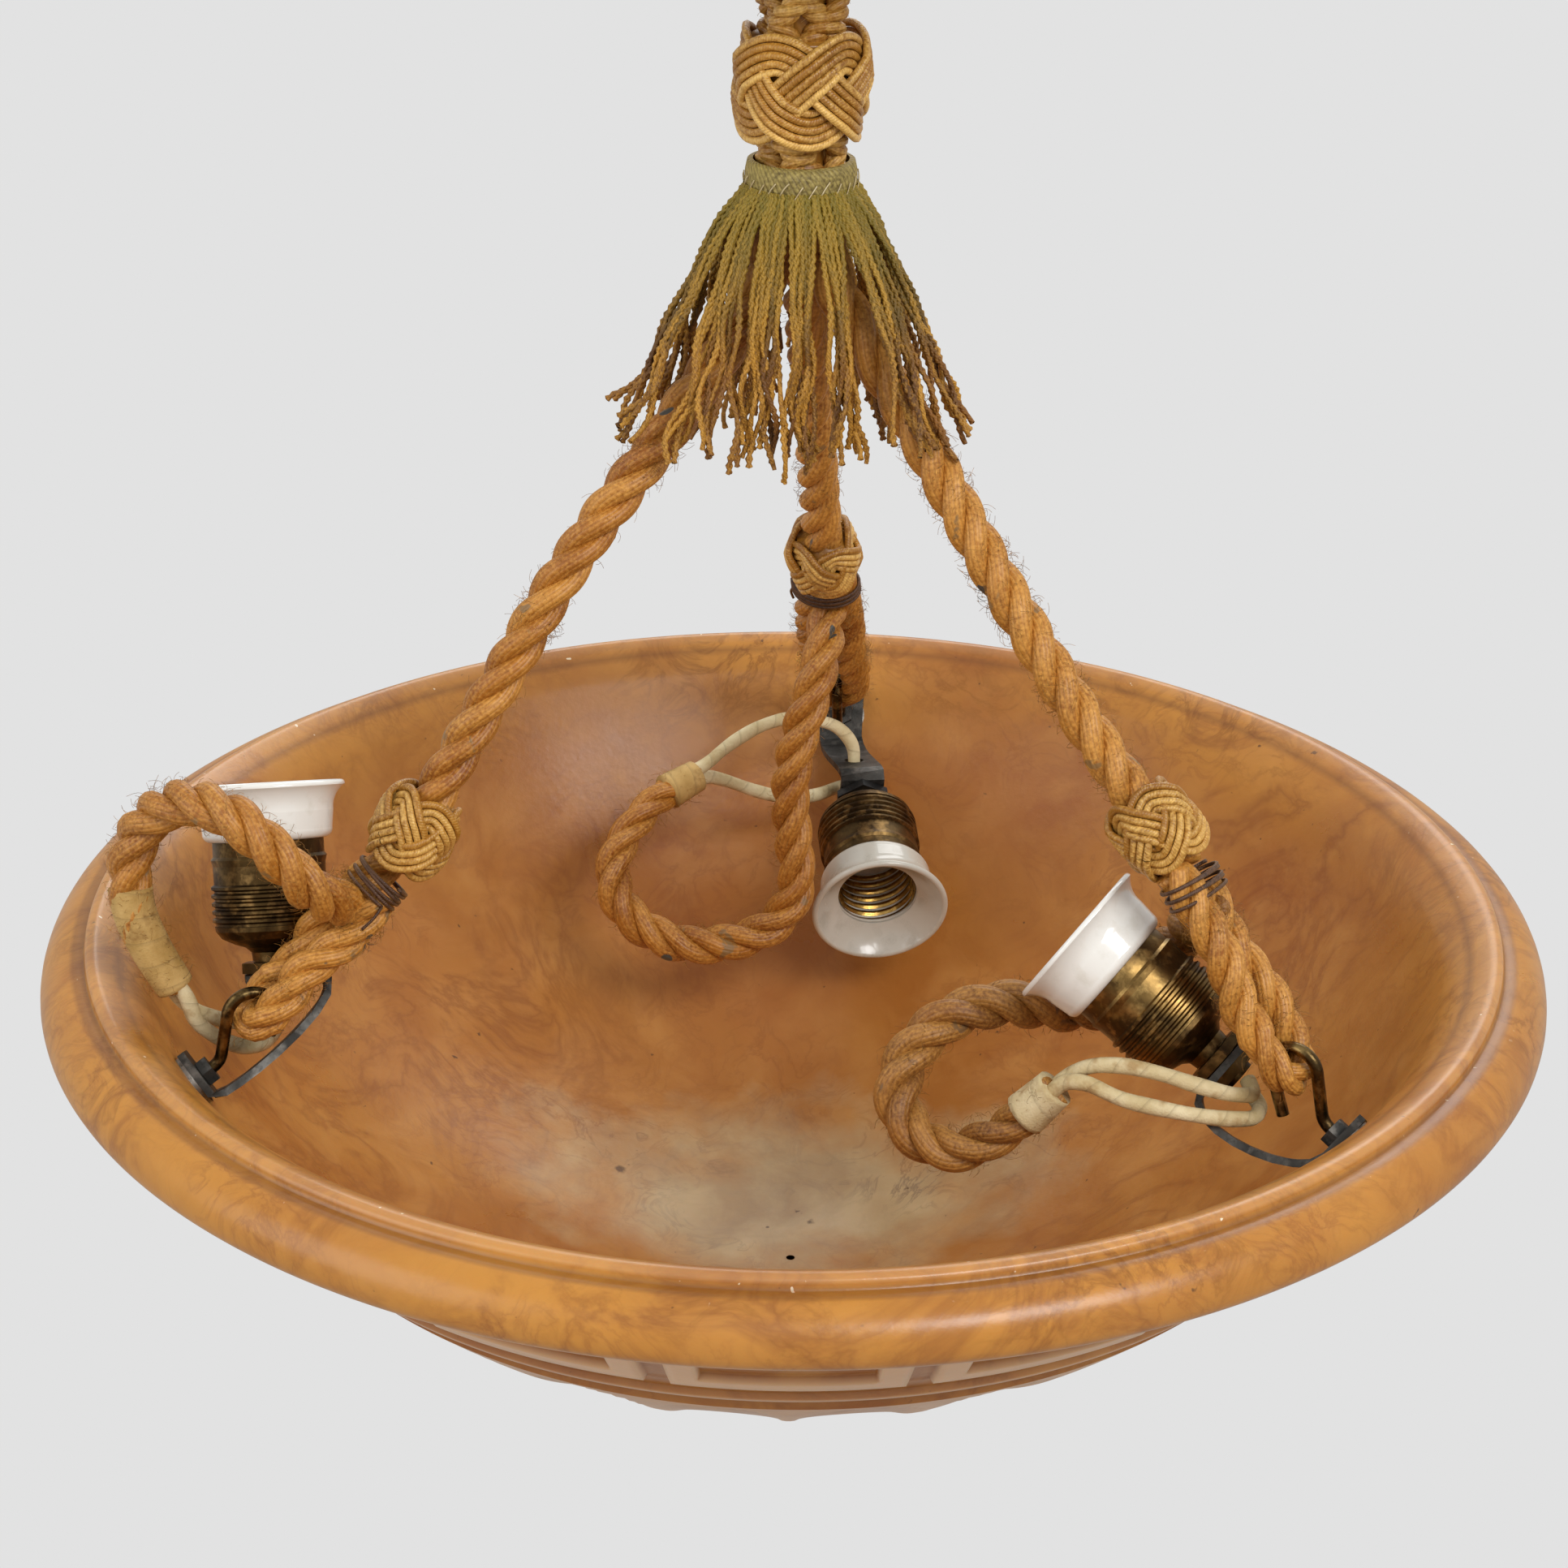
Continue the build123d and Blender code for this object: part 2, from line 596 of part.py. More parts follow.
    with BuildPart() as ring:
        with BuildSketch(lamp.profile()):
            with BuildLine():
                lip = ThreePointArc((LIP_R - 2.2, 0.6), (LIP_R - 0.7, 0.0), (LIP_R, 1.4))
                flare_out = ThreePointArc(lip @ 1, (21.6, 4.6), (20.6, 9.0))
                side_wall = Line(flare_out @ 1, (20.0, 14.6))
                foot = ThreePointArc(side_wall @ 1, (19.2, 16.8), (17.4, RING_LENGTH))
                seat = Line(foot @ 1, (16.4, RING_LENGTH))
                bore = Line(seat @ 1, (16.4, 8.4))
                inner_step = Line(bore @ 1, (14.4, 8.4))
                ThreePointArc(inner_step @ 1, (18.6, 5.2), lip @ 0)
            make_face()
        revolve(axis=lamp.line())
    write(ring.part, f"porcelain_ring_{side}")

# ---------------------------------------------------------------- flex tails and their wires
# Routes as (x, y, height above the rim), chosen by hand from the rope to the lampholder.
FLEX_ROUTES = {
    "left": [
        (-134, -62.5, 39.5), (-141, -84, 53), (-152, -87, 69), (-164.5, -83, 79.5),
        (-180, -73.5, 79.5), (-194, -65, 68.5), (-200.5, -63.5, 53), (-199.5, -66.5, 38.5),
        (-194.5, -68, 26), (-188, -68.5, 14),
    ],
    "right": [
        (122.8, -86, 50), (125, -66, 40), (120, -46, 24), (110.5, -42, 7), (96, -47, -2.5),
        (80.5, -52, 0.5), (64.5, -56, 5), (48, -61, 2.5), (36, -67.5, -6.5), (31.5, -75, -17),
        (36, -83.5, -25.5), (48, -91, -28.5), (60, -94.5, -21.5), (69.5, -96.5, -12),
        (78.5, -97.5, -1.5),
    ],
    "back": [
        (10.7, 121.9, 67.5), (10, 107, 58), (6, 97, 43.5), (0.5, 94.5, 26), (-2.5, 96, 6),
        (-0.5, 96, -15), (1.5, 94, -33), (-8, 91, -46.5), (-24, 88.5, -51.5), (-40.5, 87.5, -51.5),
        (-54.5, 89, -45.5), (-64, 93.5, -36), (-65, 101, -24.5), (-58.5, 109.5, -15.5),
        (-49, 119.5, -8), (-36, 130, -4.5),
    ],
}
WIRE_ROUTES = {
    "left": [
        [(-183, -65, 3.5), (-176, -60, -2.5), (-170, -56.3, -4.8), (-165.5, -53.6, -4.2),
         (-162.4, -52.4, -0.6)],
        [(-182.5, -70, 2.5), (-176, -66.5, -5.5), (-169.5, -62.5, -10.5), (-163.5, -59, -11),
         (-159.5, -57, -6), (-158.5, -56.5, 2.2)],
    ],
    "right": [
        [(88.5, -98.5, 7), (98, -101, 8.5), (109, -103, 7), (120, -104, 3.5), (130, -103, 0),
         (138, -98, -3), (136.5, -92.3, -1.2)],
        [(87.5, -103, 3.5), (97, -106.5, 0), (108, -108, -2), (119, -107.5, -4.5),
         (129.5, -105.5, -7), (138.5, -100.5, -9.5), (141, -93, -9.5), (136.8, -88.7, -6)],
    ],
    "back": [
        [(-25, 141.5, 2.5), (-14, 150, 6.5), (-4, 157, 7), (6, 162, 4.5), (15.5, 165, 0.5),
         (21.6, 166, -7.5), (21.8, 166, -18.5)],
        [(-25, 139, -10.5), (-13.5, 145.5, -18), (-2, 153, -24), (8.5, 162, -26.5),
         (17, 169.5, -26), (23.8, 163.2, -22.5)],
    ],
}

for side, route in FLEX_ROUTES.items():
    points = [Vector(x, y, up(height)) for x, y, height in route]
    with BuildPart() as flex_loop:
        tube(points, FLEX_D)
    write(flex_loop.part, f"flex_loop_{side}")
    radii = [round(radius, 1) for radius in bend_radii(points)]
    print(f"flex_loop_{side} radii", radii, "volume over section",
          round(flex_loop.part.volume / (pi * FLEX_D**2 / 4), 1))

    heading = (points[-1] - points[-2]).normalized()
    apart = lamps[side].axis.cross(heading).normalized()
    with BuildPart() as flex_wires:
        for sign, onward in zip((1, -1), WIRE_ROUTES[side]):
            first = points[-1] + heading * 0.3 + apart * (sign * (WIRE_D / 2 + 0.4))
            wire = [first, first + heading * 5]
            wire += [Vector(x, y, up(height)) for x, y, height in onward]
            tube(wire, WIRE_D)
            print(f"flex_wires_{side} radii", [round(radius, 1) for radius in bend_radii(wire)])
    write(flex_wires.part, f"flex_wires_{side}")

with BuildPart() as splice_tapes:
    for route in FLEX_ROUTES.values():
        last_run = [Vector(x, y, up(height)) for x, y, height in route[-2:]]
        with BuildSketch(Plane(origin=last_run[1], z_dir=last_run[0] - last_run[1])):
            Circle(FLEX_D / 2 + 0.9)
            Circle(FLEX_D / 2 + 0.05, mode=Mode.SUBTRACT)
        extrude(amount=6.5)
write(splice_tapes.part, "splice_tapes")

# ---------------------------------------------------------------- ceiling fitting
HOOK_BOTTOM = -36.0       # Z of the middle of the hook's wire at its lowest
CEILING_WIRE_D = 5.0
LINK_WIRE_D = 4.0
RING_R = 12.0             # to the middle of the wire
EYE_R = 8.0

with BuildPart() as ceiling_plate:
    with BuildSketch(Plane.XY.offset(-PLATE_T)):
        Circle(PLATE_R)
        Circle(3.05, mode=Mode.SUBTRACT)
        with Locations((0, CEILING_HOLE_SPACING / 2), (0, -CEILING_HOLE_SPACING / 2)):
            Circle(CEILING_HOLE_R, mode=Mode.SUBTRACT)
    extrude(amount=PLATE_T)
    with BuildSketch(Plane.XY.offset(-PLATE_T)):
        Circle(PLATE_R)
        Circle(PLATE_R - 2.0, mode=Mode.SUBTRACT)
    extrude(amount=-9.5)
write(ceiling_plate.part, "ceiling_plate")

with BuildPart() as ceiling_hook:
    arc_r = 10.0
    with BuildLine(Plane.XZ) as shape:
        shank = Line((0, -0.4), (0, -14.0))
        neck = ThreePointArc(shank @ 1, (-3.6, -18.4), (-arc_r, HOOK_BOTTOM + arc_r))
        ThreePointArc(neck @ 1, (0, HOOK_BOTTOM), (arc_r, HOOK_BOTTOM + arc_r))
    with BuildSketch(Plane(origin=shape.line @ 0, z_dir=shape.line % 0)):
        Circle(CEILING_WIRE_D / 2)
    sweep(path=shape.line, transition=Transition.ROUND)
write(ceiling_hook.part, "ceiling_hook")

with BuildPart() as hook_nut:
    with BuildSketch(Plane.XY.offset(-PLATE_T - 4.6)):
        RegularPolygon(5.0, 6, major_radius=False)
        Circle(CEILING_WIRE_D / 2 + 0.05, mode=Mode.SUBTRACT)
    extrude(amount=4.5)
write(hook_nut.part, "hook_nut")

with BuildPart() as terminal_block:
    with BuildSketch(Plane.XY.offset(-PLATE_T - 0.1)):
        with Locations((-26, 0)):
            RectangleRounded(15, 28, 2.5)
    extrude(amount=-12)
    with Locations(*[(-26, y, -PLATE_T - 12.1) for y in (-7, 7)]):
        Cylinder(1.6, 6, align=(Align.CENTER, Align.CENTER, Align.MIN), mode=Mode.SUBTRACT)
    with Locations(*[Location((-26, y, -PLATE_T - 6.5), (0, 90, 0)) for y in (-7, 7)]):
        Cylinder(1.9, 20, mode=Mode.SUBTRACT)
write(terminal_block.part, "terminal_block")

ring_mid = HOOK_BOTTOM + (CEILING_WIRE_D + LINK_WIRE_D) / 2 + 0.05 - RING_R
ring_bottom = ring_mid - RING_R
with BuildPart() as suspension_ring:
    with BuildSketch(Plane.XY.offset(ring_mid)):
        with Locations((0, RING_R)):
            Circle(LINK_WIRE_D / 2)
    revolve(axis=Axis((0, 0, ring_mid), (1, 0, 0)))
write(suspension_ring.part, "suspension_ring")

eye_mid = ring_bottom + LINK_WIRE_D + 0.05 - EYE_R
CUP_TOP = eye_mid - EYE_R - LINK_WIRE_D / 2 - 0.6
with BuildPart() as cup_eye:
    with BuildSketch(Plane.XY.offset(eye_mid)):
        with Locations((EYE_R, 0)):
            Circle(LINK_WIRE_D / 2)
    revolve(axis=Axis((0, 0, eye_mid), (0, 1, 0)))
    with BuildSketch(Plane.XY.offset(eye_mid - EYE_R)):
        Circle(2.4)
    extrude(amount=CUP_TOP - 6 - (eye_mid - EYE_R))
write(cup_eye.part, "cup_eye")
print("ring and eye heights", round(ring_mid, 2), round(ring_bottom, 2), round(eye_mid, 2), CUP_TOP)

with BuildPart() as rope_cup:
    wall = BRAID_D / 2 + 0.05
    with BuildSketch(Plane.XZ):
        with BuildLine():
            Polyline((2.45, CUP_TOP), (7.0, CUP_TOP), (9.0, CUP_TOP - 1.6))
            ThreePointArc((9.0, CUP_TOP - 1.6), (14.4, CUP_TOP - 4.0), (wall + 2.2, CUP_TOP - 9.0))
            Polyline((wall + 2.2, CUP_TOP - 9.0), (wall + 1.6, CUP_TOP - 22.0),
                     (wall + 2.4, CUP_TOP - 23.0), (wall + 2.4, CUP_TOP - 26.0),
                     (wall, CUP_TOP - 26.0), (wall, -75.9), (6.0, -75.9), (2.45, -75.9),
                     (2.45, CUP_TOP))
        make_face()
    revolve(axis=Axis.Z)
write(rope_cup.part, "rope_cup")

CANOPY_WALL = 1.3
with BuildPart() as canopy:
    inner_top = PLATE_R + 0.4
    with BuildSketch(Plane.XZ):
        with BuildLine():
            outside = Polyline((inner_top + CANOPY_WALL, -0.8), (inner_top + CANOPY_WALL, -16))
            shoulder = ThreePointArc(outside @ 1, (50.6, -34), (52.0, -56))
            waist = ThreePointArc(shoulder @ 1, (53.2, -70), (58.0, -80))
            rim = Polyline(waist @ 1, (59.4, -81), (59.4, CANOPY_BOTTOM), (57.2, CANOPY_BOTTOM))
            under = ThreePointArc(rim @ 1, (52.2, -72), (50.7, -56))
            inside = ThreePointArc(under @ 1, (49.2, -35), (inner_top, -17))
            Polyline(inside @ 1, (inner_top, -0.8), (inner_top + CANOPY_WALL, -0.8))
        make_face()
    revolve(axis=Axis.Z)
    for turn in (0, 120, 240):
        with BuildSketch(Plane(origin=(0, 0, -7), z_dir=(cos(radians(turn + 30)),
                                                         sin(radians(turn + 30)), 0)).offset(40)):
            Circle(1.75)
        extrude(amount=10, mode=Mode.SUBTRACT)
write(canopy.part, "canopy")

with BuildPart() as canopy_screws:
    for turn in (0, 120, 240):
        out = Plane(origin=(0, 0, -7), z_dir=(cos(radians(turn + 30)), sin(radians(turn + 30)), 0))
        with BuildSketch(out.offset(PLATE_R + 0.1)):
            Circle(1.7)
        extrude(amount=3.4)
        with BuildSketch(out.offset(inner_top + CANOPY_WALL + 0.6)):
            Circle(4.0)
        extrude(amount=4.0)
write(canopy_screws.part, "canopy_screws")
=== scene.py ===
# %% [markdown]
# Alabaster bowl pendant on three silk ropes. Metres, +Z up, origin at the ceiling plate.

import random
from math import acos, ceil, cos, exp, pi, radians, sin, sqrt

import bpy
import numpy as np
from mathutils import Matrix, Vector


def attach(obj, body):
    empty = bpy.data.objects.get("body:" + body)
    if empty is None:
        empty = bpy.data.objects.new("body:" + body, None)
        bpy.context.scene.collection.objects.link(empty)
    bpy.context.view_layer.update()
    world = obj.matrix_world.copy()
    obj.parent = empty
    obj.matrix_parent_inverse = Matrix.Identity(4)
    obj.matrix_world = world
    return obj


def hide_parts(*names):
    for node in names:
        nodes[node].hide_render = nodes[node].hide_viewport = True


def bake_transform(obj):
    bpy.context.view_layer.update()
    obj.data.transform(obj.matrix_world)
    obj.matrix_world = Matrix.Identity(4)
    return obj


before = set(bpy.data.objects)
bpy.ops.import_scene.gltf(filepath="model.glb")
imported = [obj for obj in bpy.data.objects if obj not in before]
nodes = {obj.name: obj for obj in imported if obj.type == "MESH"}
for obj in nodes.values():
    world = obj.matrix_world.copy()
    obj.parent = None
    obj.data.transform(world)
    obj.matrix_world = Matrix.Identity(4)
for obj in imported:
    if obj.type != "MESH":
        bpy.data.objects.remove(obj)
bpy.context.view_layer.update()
random.seed(7)
SIDES = ("left", "right", "back")
AZIMUTH = {"left": 205.0, "right": 325.0, "back": 85.0}
DROP = 0.420              # ceiling to the widest line of the rim bead
MM = 0.001
BEND_SHARE = 0.45         # of the shorter leg, taken up by the bend at a corner
WALL_TILT = radians(30.2)     # the hook bolts stand square to the wall


def at(x, y, height):
    """Frame point in metres from x, y and the height above the rim, in millimetres."""
    return Vector((x * MM, y * MM, height * MM - DROP))


def polar(azimuth, radius, height):
    return at(radius * cos(radians(azimuth)), radius * sin(radians(azimuth)), height)


# %% camera
scene = bpy.context.scene
camera = bpy.data.objects.new("camera", bpy.data.cameras.new("camera"))
scene.collection.objects.link(camera)
right = Vector((0.999936, 0.008442, 0.007540))
upward = Vector((-0.010378, 0.417919, 0.908425))
forward = Vector((-0.004518, 0.908445, -0.417980))
turn = Matrix((right, upward, -forward)).transposed()
camera.matrix_world = Matrix.Translation((0.001127, -0.939209, 0.064549)) @ turn.to_4x4()
camera.data.lens, camera.data.sensor_width = 74.53, 36.0
camera.data.clip_start, camera.data.clip_end = 0.01, 20.0
scene.camera = camera
scene.view_settings.view_transform = "Standard"

# %% [markdown]
# Meshes are grids of rings along a line. Each keeps a UV: around, and metres along.

# %% mesh helpers


def rounded_route(points):
    """Corner points, in metres, as a dense polyline with even bends, as the CAD draws it."""
    vectors = [Vector(p) for p in points]
    dense = [vectors[0]]
    for before, corner, after in zip(vectors, vectors[1:], vectors[2:]):
        a, b = before - corner, after - corner
        reach = BEND_SHARE * min(a.length, b.length)
        start, end = corner + a.normalized() * reach, corner + b.normalized() * reach
        for k in range(9):
            t = k / 8
            dense.append(start * (1 - t) ** 2 + corner * (2 * t * (1 - t)) + end * t * t)
    dense.append(vectors[-1])
    return even(np.array([tuple(p) for p in dense]), 0.0012)


def even(points, step):
    """The same line with points an even step apart."""
    gaps = np.linalg.norm(np.diff(points, axis=0), axis=1)
    keep = np.concatenate([[True], gaps > 1e-9])
    points = points[keep]
    along = np.concatenate([[0], np.cumsum(np.linalg.norm(np.diff(points, axis=0), axis=1))])
    count = max(4, int(ceil(along[-1] / step)))
    places = np.linspace(0, along[-1], count + 1)
    return np.stack([np.interp(places, along, points[:, i]) for i in range(3)], axis=1)


def smooth_route(points, step=0.0015):
    """A Catmull-Rom line through the points."""
    p = [np.array(tuple(q)) for q in points]
    p = [2 * p[0] - p[1]] + p + [2 * p[-1] - p[-2]]
    dense = []
    for a, b, c, d in zip(p, p[1:], p[2:], p[3:]):
        for t in np.linspace(0, 1, 14, endpoint=False):
            dense.append(0.5 * (2 * b + (c - a) * t + (2 * a - 5 * b + 4 * c - d) * t * t
                                + (3 * b - a - 3 * c + d) * t ** 3))
    dense.append(p[-2])
    return even(np.array(dense), step)


def frames_of(path):
    """Distance, and two directions square to the line that turn with it as little as they can."""
    along = np.concatenate([[0], np.cumsum(np.linalg.norm(np.diff(path, axis=0), axis=1))])
    heading = np.gradient(path, axis=0)
    heading /= np.linalg.norm(heading, axis=1)[:, None]
    first = np.cross(heading[0], [0.31, 0.17, 0.93])
    if np.linalg.norm(first) < 0.2:
        first = np.cross(heading[0], [1, 0, 0])
    normal = first / np.linalg.norm(first)
    normals = []
    for h in heading:
        normal = normal - h * normal.dot(h)
        normal = normal / np.linalg.norm(normal)
        normals.append(normal)
    normals = np.array(normals)
    return along, normals, np.cross(heading, normals)


class Shape:
    """Collects grids of points into one mesh."""

    def __init__(self):
        self.points, self.faces, self.uvs, self.tints, self.count = [], [], [], [], 0

    def grid(self, rows, u, v, tint=0.5):
        """rows: (n, m, 3) points. u: m + 1 values round, v: n values along."""
        n, m = rows.shape[:2]
        index = np.arange(n * m).reshape(n, m) + self.count
        i, j = np.meshgrid(np.arange(n - 1), np.arange(m), indexing="ij")
        k = (j + 1) % m
        quads = np.stack([index[i, j], index[i, k], index[i + 1, k], index[i + 1, j]], axis=-1)
        self.faces.append(quads.reshape(-1, 4))
        corner = np.stack([
            np.stack([u[j], v[i]], -1), np.stack([u[j + 1], v[i]], -1),
            np.stack([u[j + 1], v[i + 1]], -1), np.stack([u[j], v[i + 1]], -1)], axis=2)
        self.uvs.append(corner.reshape(-1, 2))
        self.points.append(rows.reshape(-1, 3))
        self.tints.append(np.broadcast_to(tint, (n, m)).reshape(-1))
        self.count += n * m

    def tube(self, path, radius, sides=8, tint=0.5, ends=True):
        """A round or varying tube along a line, with domed ends."""
        along, a, b = frames_of(path)
        size = np.broadcast_to(np.asarray(radius, float), (len(path),)).copy()
        if ends:
            path = np.concatenate([path[:1], path, path[-1:]])
            a, b = (np.concatenate([x[:1], x, x[-1:]]) for x in (a, b))
            along = np.concatenate([along[:1], along, along[-1:]])
            size = np.concatenate([[1e-6], size, [1e-6]])
        turn = np.arange(sides) * 2 * pi / sides
        ring = a[:, None] * np.cos(turn)[None, :, None] + b[:, None] * np.sin(turn)[None, :, None]
        self.grid(path[:, None] + ring * size[:, None, None], np.arange(sides + 1) / sides, along,
                  tint=tint)

    def build(self, name, body, material, replaces=(), slot=None):
        mesh = bpy.data.meshes.new(name)
        mesh.from_pydata(np.concatenate(self.points).tolist(), [],
                         np.concatenate(self.faces).tolist())
        layer = mesh.uv_layers.new(name="UVMap")
        layer.data.foreach_set("uv", np.concatenate(self.uvs).astype(np.float32).ravel())
        tint = mesh.attributes.new("tint", "FLOAT", "POINT")
        tint.data.foreach_set("value", np.concatenate(self.tints).astype(np.float32))
        mesh.polygons.foreach_set("use_smooth", [True] * len(mesh.polygons))
        mesh.materials.append(material)
        made = bpy.data.objects.new(name, mesh)
        scene.collection.objects.link(made)
        if body:
            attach(made, body)
        if replaces:
            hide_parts(*replaces)
        return made


# %% shader helpers


def srgb(text):
    """Hex colour as linear RGBA."""
    values = [int(text[i:i + 2], 16) / 255 for i in (1, 3, 5)]
    return [v / 12.92 if v <= 0.04045 else ((v + 0.055) / 1.055) ** 2.4 for v in values] + [1.0]


def add(tree, kind, inputs=None, **settings):
    """Add a node, set its properties, and set or link its inputs by name or number."""
    node = tree.nodes.new(kind)
    for key, value in settings.items():
        setattr(node, key, value)
    for key, value in (inputs or {}).items():
        if isinstance(value, bpy.types.NodeSocket):
            tree.links.new(value, node.inputs[key])
        else:
            node.inputs[key].default_value = value
    return node


def mixed(tree, factor, a, b):
    return add(tree, "ShaderNodeMix", {0: factor, 6: a, 7: b}, data_type="RGBA").outputs[2]


def maths(tree, operation, a, b=0.5):
    return add(tree, "ShaderNodeMath", {0: a, 1: b}, operation=operation).outputs[0]


def noise(tree, where, scale, detail=3.0, distortion=0.0, rough=0.55):
    return add(tree, "ShaderNodeTexNoise", {
        "Vector": where, "Scale": scale, "Detail": detail, "Roughness": rough,
        "Distortion": distortion}).outputs[0]


def between(tree, value, low, high, to_low=0.0, to_high=1.0):
    return add(tree, "ShaderNodeMapRange", {
        0: value, 1: low, 2: high, 3: to_low, 4: to_high}).outputs[0]


def scaled(tree, where, factors):
    return add(tree, "ShaderNodeVectorMath", {0: where, 1: factors},
               operation="MULTIPLY").outputs[0]


def bump(tree, height, depth, strength=1.0):
    return add(tree, "ShaderNodeBump", {
        "Height": height, "Distance": depth, "Strength": strength}).outputs[0]


def new_material(name):
    """A material, its tree, its surface node and the object coordinates."""
    material = bpy.data.materials.new(name)
    material.use_nodes = True
    tree = material.node_tree
    surface = next(n for n in tree.nodes if n.type == "BSDF_PRINCIPLED")
    where = add(tree, "ShaderNodeTexCoord").outputs["Object"]
    return material, tree, surface, where


def finish_surface(tree, surface, **values):
    for key, value in values.items():
        socket = surface.inputs[key.replace("_", " ")]
        if isinstance(value, bpy.types.NodeSocket):
            tree.links.new(value, socket)
        else:
            socket.default_value = value


def attribute(tree, name):
    return add(tree, "ShaderNodeAttribute", attribute_name=name).outputs["Fac"]


def uv_parts(tree):
    """Round and along coordinates of the strands."""
    uv = add(tree, "ShaderNodeUVMap", uv_map="UVMap").outputs[0]
    split = add(tree, "ShaderNodeSeparateXYZ", {0: uv})
    return split.outputs[0], split.outputs[1]


def ridges(tree, around, along, count, per_metre):
    """Slanted yarn ridges, 0 in the grooves and 1 on top."""
    phase = maths(tree, "ADD", maths(tree, "MULTIPLY", around, float(count)),
                  maths(tree, "MULTIPLY", along, per_metre))
    wave = maths(tree, "SINE", maths(tree, "MULTIPLY", phase, 2 * pi))
    half = maths(tree, "ADD", maths(tree, "MULTIPLY", wave, 0.5), 0.5)
    return maths(tree, "POWER", half, 0.6)


# %% yarn, cord and cloth materials


def yarn_material(name, dark, middle, light, count, per_metre, depth=0.00022, rough=0.6,
                  worn=None, patch=None, green=None, painted_groove_shade=0.42):
    """Silk strand: slanted yarns, with painted shade darkening the grooves between them, uneven dye,
    soft sheen.
    """
    material, tree, surface, where = new_material(name)
    around, along = uv_parts(tree)
    yarn = ridges(tree, around, along, count, per_metre)
    tint = attribute(tree, "tint")
    cloud = noise(tree, where, 55.0, 4.0)
    fine = noise(tree, where, 900.0, 2.0)
    shade = mixed(tree, between(tree, cloud, 0.35, 0.68), srgb(dark), srgb(middle))
    shade = mixed(tree, between(tree, maths(tree, "ADD", fine, tint), 0.8, 1.35), shade,
                  srgb(light))
    if green:
        near_top = between(tree, add(tree, "ShaderNodeSeparateXYZ", {0: where}).outputs[2],
                           -0.222, -0.172, 0.0, 0.72)
        shade = mixed(tree, near_top, shade, srgb(green))
    # painted shade: the grooves between the yarns are darkened towards deep brown
    groove = mixed(tree, between(tree, yarn, 0.0, 0.5, painted_groove_shade, 0.0), shade, srgb("#4A2C10"))
    if worn:
        bare = between(tree, noise(tree, where, 95.0, 3.0, 0.6), 0.66, 0.70)
        groove = mixed(tree, bare, groove, srgb(worn))
    if patch:
        dark_spot = between(tree, noise(tree, scaled(tree, where, (1.0, 1.0, 0.45)), 120.0, 1.0),
                            0.735, 0.75)
        groove = mixed(tree, dark_spot, groove, srgb(patch))
    relief = maths(tree, "ADD", yarn, maths(tree, "MULTIPLY", fine, 0.5))
    finish_surface(tree, surface, Base_Color=groove, Roughness=rough,
                   Normal=bump(tree, relief, depth))
    finish_surface(tree, surface, Sheen_Weight=0.25, Sheen_Roughness=0.35,
                   Sheen_Tint=srgb("#F2B45A"))
    return material


rope_material = yarn_material("twisted_gold_silk_rope", "#8A4D10", "#B37222", "#DDA04A", 13, 70.0,
                              depth=0.00014, rough=0.48, worn="#8D6A3E", patch="#4A4A46",
                              painted_groove_shade=0.22)
brown_rope = yarn_material("faded_brown_silk_rope", "#683C11", "#8F5A20", "#BC863E", 13, 70.0,
                           depth=0.00014, rough=0.55, worn="#7A5A36", painted_groove_shade=0.22)
braid_material = yarn_material("braided_silk_rope", "#875416", "#AE772A", "#DFB05C", 9, 150.0,
                               depth=0.0001, rough=0.42, painted_groove_shade=0.22)
gimp_material = yarn_material("silky_gimp_cord", "#8C5A18", "#B47C2A", "#EEC06A", 3, 1150.0,
                              depth=0.00008, rough=0.36, painted_groove_shade=0.2)
fringe_material = yarn_material("twisted_silk_fringe", "#5A360A", "#8A5818", "#C48E32", 3, 900.0,
                                depth=0.0001, green="#7E7414", painted_groove_shade=0.3)
collar_material = yarn_material("woven_silk_collar", "#5F5020", "#8A7A38", "#BCA75E", 60, 500.0,
                                depth=0.0002)
lash_material = yarn_material("dark_waxed_thread", "#2C190F", "#4A2E1C", "#704C32", 2, 1500.0,
                              depth=0.0001, rough=0.5)


def tape_material(name, dark, light, stain):
    """Cloth tape wound at a slant round a wire, with dark edges to each turn."""
    material, tree, surface, where = new_material(name)
    around, along = uv_parts(tree)
    phase = maths(tree, "FRACT", maths(tree, "ADD", around, maths(tree, "MULTIPLY", along, 125.0)))
    lap = between(tree, phase, 0.0, 0.16, 0.0, 1.0)
    weave = noise(tree, where, 1500.0, 2.0)
    cloud = noise(tree, where, 70.0, 4.0)
    shade = mixed(tree, between(tree, cloud, 0.35, 0.65), srgb(dark), srgb(light))
    shade = mixed(tree, between(tree, noise(tree, where, 130.0, 3.0), 0.56, 0.7, 0.0, 0.75), shade,
                  srgb(stain))
    shade = mixed(tree, between(tree, lap, 0.0, 1.0, 0.26, 0.0), shade, srgb("#5E4A2A"))
    relief = maths(tree, "ADD", maths(tree, "MULTIPLY", phase, 1.2),
                   maths(tree, "MULTIPLY", weave, 0.35))
    finish_surface(tree, surface, Base_Color=shade, Roughness=0.8,
                   Normal=bump(tree, relief, 0.0006))
    return material


pale_tape = tape_material("off_white_cloth_tape", "#BFA978", "#E2D2AA", "#A27F4C")
tan_tape = tape_material("tan_cloth_tape", "#A5803F", "#CBA768", "#86602A")


# %% metal, porcelain and plastic materials


